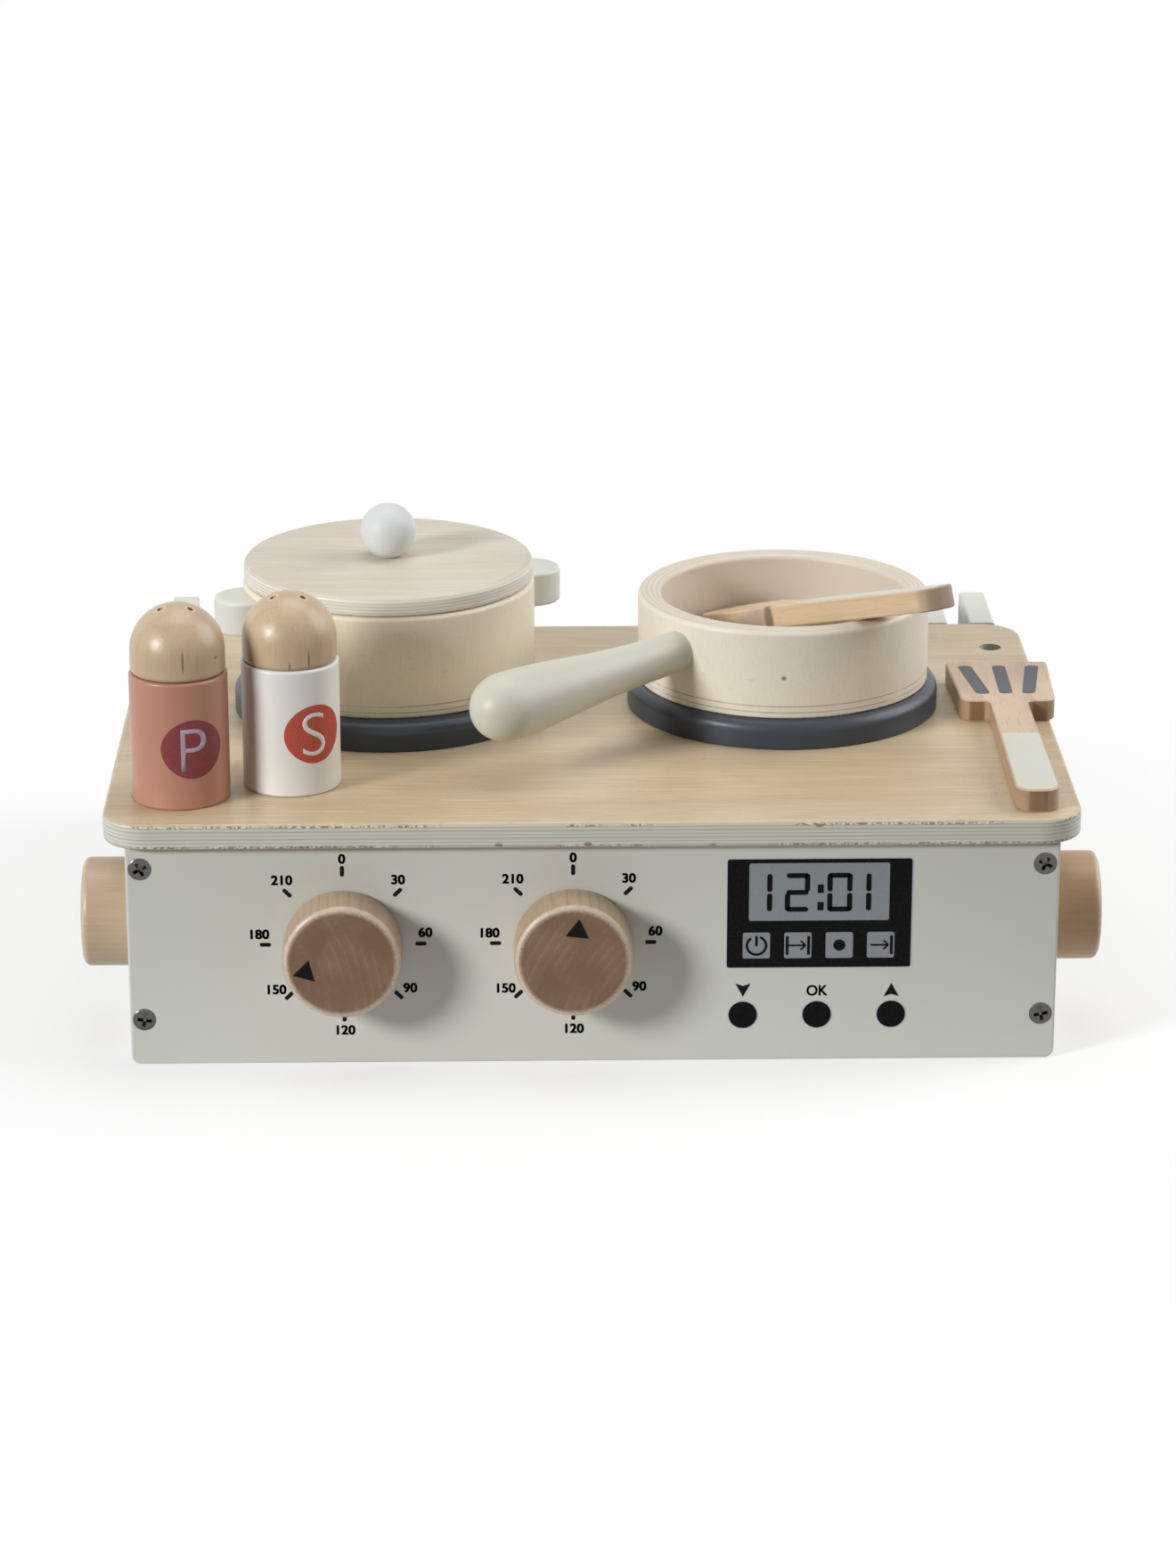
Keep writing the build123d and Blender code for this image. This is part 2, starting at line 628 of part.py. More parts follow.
def spoon_blank():
    half_head = SPOON_HEAD_WIDTH / 2
    half_handle = SPOON_HANDLE_WIDTH / 2
    head = Pos(SPOON_HEAD_LENGTH / 2, 0) * Ellipse(SPOON_HEAD_LENGTH / 2, half_head)
    grip_start = SPOON_HEAD_LENGTH / 2
    grip = Pos(grip_start, 0) * Rectangle(
        SPOON_LENGTH - grip_start, 2 * half_handle, align=(Align.MIN, Align.CENTER)
    )
    ends = grip.vertices().sort_by(Axis.X)[-2:]
    outline = head + fillet(ends, SPOON_END_RADIUS)
    shoulders = outline.vertices().filter_by_position(
        Axis.X, SPOON_HEAD_LENGTH / 2, SPOON_HEAD_LENGTH
    )
    outline = fillet(shoulders, SPOON_SHOULDER_RADIUS)
    blank = extrude(outline, TOOL_THICKNESS)
    return chamfer(blank.faces().filter_by(Axis.Z).edges(), TOOL_EDGE_RADIUS)


def spoon_reach(offset):
    # Plan distance along the heading, from beside the tip to the inner top edge of the rim
    heading = math.radians(SPOON_HEADING)
    start_x = SPOON_TIP_X - offset * math.sin(heading)
    start_y = SPOON_TIP_Y + offset * math.cos(heading)
    rim_radius = VESSEL_INNER_RADIUS + VESSEL_RIM_RADIUS
    along = -(start_x * math.cos(heading) + start_y * math.sin(heading))
    beyond = start_x ** 2 + start_y ** 2 - rim_radius ** 2
    return along + math.sqrt(along ** 2 - beyond)


def spoon():
    half_handle = SPOON_HANDLE_WIDTH / 2
    reach = min(spoon_reach(-half_handle), spoon_reach(half_handle))
    slope = math.atan2(PAN_RIM - VESSEL_FLOOR, reach)
    lift = (VESSEL_RIM_RADIUS + TOOL_REST_GAP) / math.cos(slope) - VESSEL_RIM_RADIUS
    place = Pos(PAN_X + SPOON_TIP_X, PAN_Y + SPOON_TIP_Y, VESSEL_FLOOR + lift)
    return place * Rot(0, 0, SPOON_HEADING) * Rot(0, -math.degrees(slope), 0) * spoon_blank()


def spatula():
    head_start = SPATULA_LENGTH - SPATULA_HEAD_LENGTH
    outline = make_face(
        Polyline(
            (-SPATULA_TIP_WIDTH / 2, SPATULA_LENGTH),
            (-SPATULA_HEAD_WIDTH / 2, head_start),
            (-SPATULA_NECK_WIDTH / 2, head_start),
            (-SPATULA_HANDLE_WIDTH / 2, 0),
            (SPATULA_HANDLE_WIDTH / 2, 0),
            (SPATULA_NECK_WIDTH / 2, head_start),
            (SPATULA_HEAD_WIDTH / 2, head_start),
            (SPATULA_TIP_WIDTH / 2, SPATULA_LENGTH),
            close=True,
        )
    )
    outline = fillet(outline.vertices().group_by(Axis.Y)[-1], SPATULA_TIP_RADIUS)
    outline = fillet(outline.vertices().group_by(Axis.Y)[0], SPATULA_END_RADIUS)
    corners = [point for point in outline.vertices() if abs(point.Y - head_start) < 1e-3]
    corners = ShapeList(corners).sort_by(Axis.X)
    outline = fillet([corners[0], corners[-1]], SPATULA_HEAD_RADIUS)
    neck = [point for point in outline.vertices() if abs(abs(point.X) - SPATULA_NECK_WIDTH / 2) < 1e-3]
    outline = fillet(neck, SPATULA_NECK_RADIUS)
    blank = extrude(outline, TOOL_THICKNESS)
    blank = chamfer(blank.faces().filter_by(Axis.Z).edges(), TOOL_EDGE_RADIUS)
    return Pos(SPATULA_X, WORKTOP_FRONT + SPATULA_FROM_FRONT, WORKTOP_TOP) * blank


# Shakers


def shaker_body(centre_x, centre_y):
    body = rounded_disc(SHAKER_DIAMETER / 2, SHAKER_BODY_HEIGHT, SHAKER_TOP_RADIUS, SHAKER_FOOT_RADIUS)
    depth = CAP_PEG_LENGTH + CAP_PEG_END_GAP
    socket = rod(CAP_PEG_DIAMETER / 2 + GLUE_FIT, depth)
    body -= Pos(0, 0, SHAKER_BODY_HEIGHT - depth) * socket
    return Pos(centre_x, centre_y, WORKTOP_TOP) * body


def shaker_cap(centre_x, centre_y):
    radius = CAP_DIAMETER / 2
    dome_start = CAP_HEIGHT - radius
    base = Polyline((0, CAP_HEIGHT), (0, 0), (radius - CAP_FOOT_RADIUS, 0))
    foot = CenterArc((radius - CAP_FOOT_RADIUS, CAP_FOOT_RADIUS), CAP_FOOT_RADIUS, -90, 90)
    flank = Line((radius, CAP_FOOT_RADIUS), (radius, dome_start))
    dome = CenterArc((0, dome_start), radius, 0, 90)
    cap = revolve(Plane.XZ * make_face(base + foot + flank + dome), Axis.Z)
    cap += Pos(0, 0, -CAP_PEG_LENGTH) * rod(CAP_PEG_DIAMETER / 2, CAP_PEG_LENGTH)
    hole_top = dome_start + math.sqrt(radius ** 2 - CAP_HOLE_CIRCLE_RADIUS ** 2)
    bit = Pos(CAP_HOLE_CIRCLE_RADIUS, 0, hole_top) * Cylinder(CAP_HOLE_DIAMETER / 2, 2 * CAP_HOLE_DEPTH)
    for index in range(CAP_HOLE_COUNT):
        cap -= Rot(0, 0, CAP_HOLE_FIRST_ANGLE + index * 360 / CAP_HOLE_COUNT) * bit
    return Pos(centre_x, centre_y, WORKTOP_TOP + SHAKER_BODY_HEIGHT) * cap


PIECES = {
    "worktop": worktop(),
    "front_panel": front_panel(),
    "side_panel_left": side_panel(-1),
    "side_panel_right": side_panel(1),
    "rear_rail": rear_rail(),
    "inner_arm_left": inner_arm(-1),
    "inner_arm_right": inner_arm(1),
    "rail_dowels": rail_dowels(),
    "arm_dowels": arm_dowels(),
    "front_screws": front_screws(),
    "worktop_screws": worktop_screws(),
    "burner_screws": burner_screws(),
    "side_knob_screws": side_knob_screws(),
    "burner_left": burner(-1),
    "burner_right": burner(1),
    "knob_left": knob(LEFT_KNOB_X),
    "knob_right": knob(RIGHT_KNOB_X),
    "knob_spindle_left": knob_spindle(LEFT_KNOB_X),
    "knob_spindle_right": knob_spindle(RIGHT_KNOB_X),
    "knob_washer_left": knob_washer(LEFT_KNOB_X),
    "knob_washer_right": knob_washer(RIGHT_KNOB_X),
    "knob_nut_left": knob_nut(LEFT_KNOB_X),
    "knob_nut_right": knob_nut(RIGHT_KNOB_X),
    "side_knob_left": side_knob(-1),
    "side_knob_right": side_knob(1),
    "pot_wall": pot_wall(),
    "pot_base": vessel_base(POT_X, POT_Y),
    "pot_ear_left": pot_ear(ear_places()[0]),
    "pot_ear_right": pot_ear(ear_places()[1]),
    "pot_ear_dowels": pot_ear_dowels(),
    "lid_plate": lid_plate(),
    "lid_insert": lid_insert(),
    "lid_ball": lid_ball(),
    "lid_screw": lid_screw(),
    "pan_wall": pan_wall(),
    "pan_base": vessel_base(PAN_X, PAN_Y),
    "pan_handle": pan_handle(),
    "spoon": spoon(),
    "spatula": spatula(),
    "pepper_body": shaker_body(PEPPER_X, PEPPER_Y),
    "pepper_cap": shaker_cap(PEPPER_X, PEPPER_Y),
    "salt_body": shaker_body(SALT_X, SALT_Y),
    "salt_cap": shaker_cap(SALT_X, SALT_Y),
}

os.makedirs("parts", exist_ok=True)
for name, piece in PIECES.items():
    export_step(piece, f"parts/{name}.step")
    print(name, round(piece.volume / 1000, 2), "cm3")
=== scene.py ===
# %% [markdown]
# # A wooden play kitchen
#
# The toy is a shallow hob box of painted boards under a plywood top. It has two turning
# knobs, a printed display, a lidded pot, a frying pan, a spoon, a spatula and two shakers.
# The boards, knobs and pans arrive as finished solids, at their true size in metres, with
# +Z up and the front facing -Y. This lesson adds what solids can't carry: wood grain and
# paint, the printed dials and display, the screws' cross slots, the light and the view.

import bpy
import math
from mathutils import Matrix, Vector


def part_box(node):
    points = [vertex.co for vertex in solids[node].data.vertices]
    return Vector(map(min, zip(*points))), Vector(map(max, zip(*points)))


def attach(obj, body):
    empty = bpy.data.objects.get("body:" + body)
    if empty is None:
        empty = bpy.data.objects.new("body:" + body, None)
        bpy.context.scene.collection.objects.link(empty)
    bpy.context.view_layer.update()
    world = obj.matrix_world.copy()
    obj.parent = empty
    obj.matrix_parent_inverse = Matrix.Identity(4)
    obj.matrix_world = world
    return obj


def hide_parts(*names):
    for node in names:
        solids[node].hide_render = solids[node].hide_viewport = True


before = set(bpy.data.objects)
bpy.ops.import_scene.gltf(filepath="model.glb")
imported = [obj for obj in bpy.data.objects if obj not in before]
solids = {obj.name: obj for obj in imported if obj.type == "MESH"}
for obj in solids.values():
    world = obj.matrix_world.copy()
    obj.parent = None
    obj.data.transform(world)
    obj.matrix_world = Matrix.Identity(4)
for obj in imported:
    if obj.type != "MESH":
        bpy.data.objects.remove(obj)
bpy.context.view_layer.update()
MM = 0.001
bpy.ops.object.select_all(action="DESELECT")
print("solids loaded:", len(solids))


# %% [markdown]
# ## Building finishes out of nodes
#
# Every finish here is a small network of nodes on the Principled shader. The same few moves
# come back in each: take the object's own coordinates, stretch them along the grain, feed a
# noise, turn the noise into a mask, and mix two colours with it. A few helpers for those
# moves keep every finish short enough to read. Sky and floor are made with them too.


# %% Helpers for materials
def new_finish(name, roughness, metallic=0.0, coat=0.0, gloss=0.5):
    finish = bpy.data.materials.new(name)
    finish.use_nodes = True
    shader = finish.node_tree.nodes["Principled BSDF"]
    shader.inputs["Roughness"].default_value = roughness
    shader.inputs["Metallic"].default_value = metallic
    shader.inputs["Specular IOR Level"].default_value = gloss
    shader.inputs["Coat Weight"].default_value = coat
    shader.inputs["Coat Roughness"].default_value = 0.25
    return finish


def add(finish, kind, **settings):
    made = finish.node_tree.nodes.new("ShaderNode" + kind)
    for name, value in settings.items():
        setattr(made, name, value)
    return made


def put(finish, value, socket):
    if isinstance(value, bpy.types.NodeSocket):
        finish.node_tree.links.new(value, socket)
    elif isinstance(value, tuple) and len(value) == 3 and socket.type == "RGBA":
        socket.default_value = (*value, 1.0)
    else:
        socket.default_value = value


def shader_of(finish):
    return finish.node_tree.nodes["Principled BSDF"]


def math_of(finish, operation, first, second=0.0):
    made = add(finish, "Math", operation=operation)
    put(finish, first, made.inputs[0])
    put(finish, second, made.inputs[1])
    return made.outputs[0]


def times(finish, first, second):
    return math_of(finish, "MULTIPLY", first, second)


def minus(finish, first, second):
    return math_of(finish, "SUBTRACT", first, second)


def mixed(finish, mask, first, second):
    made = add(finish, "Mix", data_type="RGBA")
    put(finish, mask, made.inputs[0])
    put(finish, first, made.inputs[6])
    put(finish, second, made.inputs[7])
    return made.outputs[2]


def ranged(finish, value, low, high, new_low=0.0, new_high=1.0):
    made = add(finish, "MapRange", interpolation_type="SMOOTHSTEP")
    for index, setting in enumerate((value, low, high, new_low, new_high)):
        put(finish, setting, made.inputs[index])
    return made.outputs[0]


def toned(finish, colour, tone, mask, low, high, share):
    return mixed(finish, ranged(finish, mask, low, high, 0.0, share), colour, tone)


def own_coordinates(finish, scale=(1.0, 1.0, 1.0), shift=(0.0, 0.0, 0.0)):
    coordinates = add(finish, "TexCoord")
    mapping = add(finish, "Mapping")
    put(finish, coordinates.outputs["Object"], mapping.inputs["Vector"])
    mapping.inputs["Location"].default_value = shift
    mapping.inputs["Scale"].default_value = scale
    return mapping.outputs["Vector"]


def vector_math(finish, operation, vector, other):
    made = add(finish, "VectorMath", operation=operation)
    put(finish, vector, made.inputs[0])
    made.inputs[1].default_value = other
    return made.outputs[0]


def noise(finish, where, scale, detail=3.0, distortion=0.0):
    made = add(finish, "TexNoise")
    put(finish, where, made.inputs["Vector"])
    made.inputs["Scale"].default_value = scale
    made.inputs["Detail"].default_value = detail
    made.inputs["Distortion"].default_value = distortion
    return made.outputs["Fac"]


def axis_of(finish, vector, axis):
    made = add(finish, "SeparateXYZ")
    put(finish, vector, made.inputs[0])
    return made.outputs[axis]


def laid(finish, output, tip, turn):
    coordinates = add(finish, "TexCoord")
    mapping = add(finish, "Mapping", vector_type="TEXTURE")
    put(finish, coordinates.outputs[output], mapping.inputs["Vector"])
    mapping.inputs["Location"].default_value = tip
    mapping.inputs["Rotation"].default_value = turn
    return mapping.outputs["Vector"]


def facing(finish, axis, turn=(0.0, 0.0, 0.0)):
    along = axis_of(finish, laid(finish, "Normal", (0.0, 0.0, 0.0), turn), axis)
    return math_of(finish, "ABSOLUTE", along)


def length_of(finish, vector):
    made = add(finish, "VectorMath", operation="LENGTH")
    put(finish, vector, made.inputs[0])
    return made.outputs["Value"]


def from_upright(finish, middle):
    shift = (-middle[0] * MM, -middle[1] * MM, 0.0)
    return length_of(finish, own_coordinates(finish, (1.0, 1.0, 0.0), shift))


def stained(finish, colour, where, place, size, stain, strength=0.8):
    scale = tuple(1.0 / (value * MM) for value in size)
    moved = vector_math(finish, "SUBTRACT", where, tuple(value * MM for value in place))
    distance = length_of(finish, vector_math(finish, "MULTIPLY", moved, scale))
    return mixed(finish, ranged(finish, distance, 0.5, 1.0, strength, 0.0), colour, stain)


def bumped(finish, height, depth, strength):
    made = add(finish, "Bump")
    put(finish, height, made.inputs["Height"])
    made.inputs["Distance"].default_value = depth
    made.inputs["Strength"].default_value = strength
    put(finish, made.outputs["Normal"], shader_of(finish).inputs["Normal"])


def coloured(finish, colour):
    put(finish, colour, shader_of(finish).inputs["Base Color"])


def wear(solid_names, finish):
    for name in solid_names:
        slots = solids[name].data.materials
        slots.clear()
        slots.append(finish)
    print(finish.name, "on", ", ".join(solid_names))


# %% [markdown]
# ## Ground, sky and lamps
#
# The toy was photographed on white under large soft lamps. The front board is darkest just
# under the worktop, and the knobs throw soft shadows to the right and down. So the strong
# lamp stands high at the left front, a wide one fills in from the right, and a weak one
# hangs overhead, a little behind the middle. The sky hardly lights the toy. The camera and
# glossy surfaces see sky and floor as white, while the lit surfaces get less light from
# them, so the white doesn't flatten the colours.


# %% White surroundings
def seen_or_lit(owner, seen, lit):
    path = add(owner, "LightPath")
    rays = (path.outputs["Is Camera Ray"], path.outputs["Is Glossy Ray"])
    mixer = add(owner, "Mix")
    for index, value in ((0, math_of(owner, "MAXIMUM", *rays)), (2, lit), (3, seen)):
        put(owner, value, mixer.inputs[index])
    return mixer.outputs[0]


world = bpy.data.worlds.new("white_studio")
bpy.context.scene.world = world
world.use_nodes = True
sky = world.node_tree.nodes["Background"]
put(world, (1.0, 1.0, 1.0), sky.inputs["Color"])
put(world, seen_or_lit(world, 1.0, 0.07), sky.inputs["Strength"])
print("sky ready")


# %% [markdown]
# The floor is plain matt paint near the toy, where it catches the shadow, and it fades into
# the white surroundings further out. Like a sheet of paper under the toy, it throws light
# back up at the foot of the boards, and less light comes from beyond the sheet's edge. Each
# row below gives two distances from the middle in metres, and the value at each of them.

# %% Floor
SHEET_PAINT = (0.18, 0.45, 0.90, 0.10)
SHEET_GLOW = (0.20, 0.50, 0.55, 0.08)
GLOW_SHARE = (0.17, 0.44, 0.45, 1.0)
bpy.ops.mesh.primitive_plane_add(size=16.0)
floor = bpy.context.active_object
floor.name = "floor"
paper = new_finish("floor_paint", 0.9, gloss=0.0)
reach = length_of(paper, own_coordinates(paper))
shade = add(paper, "CombineColor")
for channel in shade.inputs:
    lit = ranged(paper, reach, *SHEET_PAINT)
    put(paper, seen_or_lit(paper, 1.0, lit), channel)
coloured(paper, shade.outputs[0])
glow = add(paper, "Emission")
lit = ranged(paper, reach, *SHEET_GLOW)
put(paper, seen_or_lit(paper, 1.0, lit), glow.inputs["Strength"])
cover = add(paper, "MixShader")
share = ranged(paper, reach, *GLOW_SHARE)
for index, value in enumerate((share, shader_of(paper).outputs[0], glow.outputs[0])):
    put(paper, value, cover.inputs[index])
surface = paper.node_tree.nodes["Material Output"].inputs["Surface"]
put(paper, cover.outputs[0], surface)
floor.data.materials.append(paper)
print("floor ready")


# %% Lamps
def softbox(name, place, size, power):
    shape = bpy.data.lights.new(name, "AREA")
    shape.shape = "DISK"
    shape.size = size
    shape.energy = power
    lamp = bpy.data.objects.new(name, shape)
    bpy.context.scene.collection.objects.link(lamp)
    lamp.location = place
    lamp.rotation_euler = Vector(place).to_track_quat("Z", "Y").to_euler()


softbox("overhead_softbox", (0.0, 0.15, 1.50), size=1.1, power=7.0)
softbox("left_front_softbox", (-2.30, -1.75, 1.25), size=0.8, power=74.0)
softbox("right_softbox", (1.85, 0.25, 1.20), size=1.9, power=34.0)
print("lamps ready")


# %% [markdown]
# ## The camera
#
# The photograph was taken from a little left of the middle, about 1.9 m away and 0.7 m up,
# with a long lens. The place, the turn and the lens below came from lining up the worktop's
# edges, the dial marks and the pans with the photograph, 1320 x 1760 pixels.

# %% Place the camera
LENS_PIXELS = 5178.5
PHOTO_HEIGHT = 1760
YAW = math.radians(-1.117)
PITCH = math.radians(19.1756)
lens_data = bpy.data.cameras.new("photo_camera")
lens_data.sensor_width = 36.0
lens_data.lens = LENS_PIXELS * lens_data.sensor_width / PHOTO_HEIGHT
camera = bpy.data.objects.new("photo_camera", lens_data)
bpy.context.scene.collection.objects.link(camera)
camera.location = (-0.03659, -1.91065, 0.73438)
camera.rotation_euler = (math.pi / 2 - PITCH, 0.0, YAW)
lens_data.clip_start, lens_data.clip_end = 0.05, 60.0
bpy.context.scene.camera = camera
bpy.context.scene.view_settings.view_transform = "Standard"
print("lens", round(lens_data.lens, 2), "mm")


# %% [markdown]
# ## The worktop's birch plywood
#
# The worktop is lacquered birch plywood. On top the grain runs from left to right in long
# pale bands with short brown flecks. On the edge the plies show as thin layers, cut along and
# across the grain in turn, so they differ in tone, and the saw has torn out small dark
# chips, most of them near the top and the bottom ply. The height above the table picks the
# ply, and the way the surface faces decides whether the top's grain or the edge is painted.


# %% Birch worktop
def birch_grain(finish, pale, tan, brown):
    light = tuple(value * 1.12 for value in pale)
    fibres = noise(finish, own_coordinates(finish, (1.0, 26.0, 26.0)), 42.0, 5.0)
    bands = noise(finish, own_coordinates(finish, (1.0, 9.0, 9.0)), 5.5, 4.0, 0.6)
    cloud = noise(finish, own_coordinates(finish, (1.0, 1.6, 1.0)), 7.0, 2.0)
    fleck_way = own_coordinates(finish, (1.0, 7.0, 7.0), (0.3, 0.1, 0.0))
    streak_way = own_coordinates(finish, (1.0, 20.0, 20.0), (0.7, 0.2, 0.0))
    colour = pale
    for tone, mask, low, high, share in (
        (tan, bands, 0.3, 0.75, 1.0),
        (tan, cloud, 0.35, 0.7, 0.45),
        (brown, fibres, 0.35, 0.75, 0.3),
        (brown, noise(finish, fleck_way, 130.0, 1.0), 0.64, 0.76, 0.4),
        (light, noise(finish, streak_way, 24.0, 3.0), 0.56, 0.72, 0.5),
    ):
        colour = toned(finish, colour, tone, mask, low, high, share)
    return colour, fibres


def ply_edges(finish, foot, ply, light, dark, seam, chip):
    where = own_coordinates(finish)
    height = axis_of(finish, where, 2)
    wobble = noise(finish, own_coordinates(finish, scale=(0.25, 0.25, 1.0)), 60.0, 2.0)
    layer = times(finish, minus(finish, height, foot), 1.0 / ply)
    layer = math_of(finish, "ADD", layer, times(finish, wobble, 0.25))
    along = math_of(finish, "PINGPONG", layer, 1.0)
    colour = mixed(finish, ranged(finish, along, 0.25, 0.75), light, dark)
    line = ranged(finish, math_of(finish, "PINGPONG", layer, 0.5), 0.0, 0.26, 0.75, 0.0)
    colour = mixed(finish, line, colour, seam)
    middle = foot + 3.5 * ply
    away = math_of(finish, "ABSOLUTE", minus(finish, height, middle))
    outer = ranged(finish, away, 2.2 * ply, 2.7 * ply)
    patches = ranged(finish, noise(finish, where, 24.0, 1.0), 0.46, 0.54)
    torn_places = times(finish, outer, patches)
    rough_way = own_coordinates(finish, scale=(1.0, 1.0, 1.4))
    torn = noise(finish, rough_way, 900.0, 1.0)
    chips = times(finish, ranged(finish, torn, 0.50, 0.58, 0.0, 0.85), torn_places)
    shards = times(finish, ranged(finish, torn, 0.46, 0.38, 0.0, 0.8), torn_places)
    colour = mixed(finish, chips, colour, chip)
    colour = mixed(finish, shards, colour, (0.82, 0.80, 0.72))
    return colour, minus(finish, shards, chips)


WORKTOP_FOOT, WORKTOP_PLY = 95.0 * MM, 1.57 * MM
KNOT_SIZE, KNOT_BROWN = (2.2, 4.0, 1.1), (0.22, 0.13, 0.08)
birch = new_finish("birch_worktop", 0.42, coat=0.1)
top_colour, top_fibres = birch_grain(
    birch, (0.66, 0.55, 0.385), (0.53, 0.41, 0.24), (0.38, 0.26, 0.13)
)
edge_colour, edge_chips = ply_edges(
    birch, WORKTOP_FOOT, WORKTOP_PLY,
    light=(0.69, 0.69, 0.60), dark=(0.62, 0.62, 0.535), seam=(0.37, 0.355, 0.285),
    chip=(0.17, 0.12, 0.08),
)
for knot_x, knot_height in ((-38.4, 96.6), (48.3, 95.8), (-2.3, 96.8), (91.6, 104.2)):
    brown_mark = ((knot_x, -151.7, knot_height), KNOT_SIZE, KNOT_BROWN)
    edge_colour = stained(birch, edge_colour, own_coordinates(birch), *brown_mark)
on_edge = ranged(birch, facing(birch, 2), 0.35, 0.6, 1.0, 0.0)
coloured(birch, mixed(birch, on_edge, top_colour, edge_colour))
bumped(birch, math_of(birch, "ADD", top_fibres, edge_chips), 0.00012, 0.5)
wear(["worktop"], birch)


# %% [markdown]
# ## Painted pieces
#
# The boards, the ear handles, the lid's ball, the pan's handle, the burners and the shakers
# are painted. The front board's cream is darker than the boards behind it: that is painted
# shade. The ears have a paint of their own, and the pan's handle is painted warmer, as a
# painted warm bounce from the worktop. A sprayed paint is never quite flat: it has a fine
# orange-peel, it lets a little of the grain print through, and its tone drifts slightly.
# One function makes them all, from a colour, the grain's direction and the roughness.


# %% Paint over wood
def paint(name, colour, deep, roughness, grain=(1.0, 1.0, 1.0), print_through=0.3,
          peel_depth=0.0001):
    finish = new_finish(name, roughness, gloss=0.4)
    drift = noise(finish, own_coordinates(finish), 11.0, 2.0)
    tone = mixed(finish, ranged(finish, drift, 0.3, 0.75, 0.0, 0.5), colour, deep)
    grain_way = own_coordinates(finish, scale=grain)
    fibres = noise(finish, grain_way, 260.0, 3.0)
    pits = ranged(finish, fibres, 0.62, 0.80, 0.0, print_through)
    coloured(finish, mixed(finish, pits, tone, deep))
    peel = noise(finish, own_coordinates(finish), 900.0, 1.0)
    height = minus(finish, times(finish, peel, 0.35), pits)
    bumped(finish, height, peel_depth, 0.5)
    return finish


BOARD_GRAIN, TURNED_GRAIN = (0.4, 1.0, 1.0), (0.6, 0.6, 3.0)
for paint_name, colour, deep, look, painted in (
    # The front board's darker cream is painted shade.
    ("cream_front_paint_and_painted_shade", (0.665, 0.67, 0.61), (0.61, 0.615, 0.55), (0.5, BOARD_GRAIN, 0.12),
     ["front_panel"]),
    ("cream_board_paint", (0.75, 0.755, 0.69), (0.69, 0.695, 0.62), (0.5, BOARD_GRAIN, 0.12),
     ["side_panel_left", "side_panel_right", "inner_arm_left", "inner_arm_right", "rear_rail"]),
    ("pale_ear_paint", (0.78, 0.79, 0.73), (0.70, 0.71, 0.63), (0.42, TURNED_GRAIN, 0.35),
     ["pot_ear_left", "pot_ear_right"]),
    ("white_ball_paint", (0.70, 0.72, 0.72), (0.62, 0.64, 0.62), (0.5, (1.0, 1.0, 1.0), 0.35),
     ["lid_ball"]),
    ("charcoal_burner_paint", (0.040, 0.050, 0.068), (0.026, 0.033, 0.045), (0.36,),
     ["burner_left", "burner_right"]),
    ("terracotta_paint", (0.53, 0.265, 0.18), (0.45, 0.205, 0.135), (0.34, (2.0, 2.0, 0.5), 0.45),
     ["pepper_body"]),
    ("white_shaker_paint", (0.85, 0.85, 0.82), (0.75, 0.74, 0.69),
     (0.36, (0.6, 0.6, 2.5), 0.5, 0.00016), ["salt_body"]),
):
    wear(painted, paint(paint_name, colour, deep, *look))
# The handle's warmer paint is a painted warm bounce from the worktop; the grips share it.
mint = paint("pale_mint_paint", (0.64, 0.635, 0.55), (0.57, 0.56, 0.47), 0.42, TURNED_GRAIN, 0.35)
wear(["pan_handle"], mint)


# %% [markdown]
# ## Pot, lid and pan
#
# The pot and the pan are bent plywood rings on plywood bases, under a pale milky lacquer.
# Faint upright pores show on the walls, the plies show on the rims as thin rings round the
# middle, and brown glue lines run round the base. The inside is darker and a little pinker,
# the inner walls more than the floor. Faces that point up, such as the rims, are darkened
# as painted shade. Each vessel has its own middle, and the pot is painted brighter and
# yellower than the pan, as painted light with a warm bounce, so each gets its own finish.


# %% Milky birch
INNER_RADIUS, RIM_PLY, OUTSIDE = 53.0 * MM, 2.1 * MM, 60.0 * MM
GLUE_LINES = ((121.1 * MM, 0.7), (123.8 * MM, 0.85))
BROWN_BIRCH = (0.38, 0.275, 0.165)


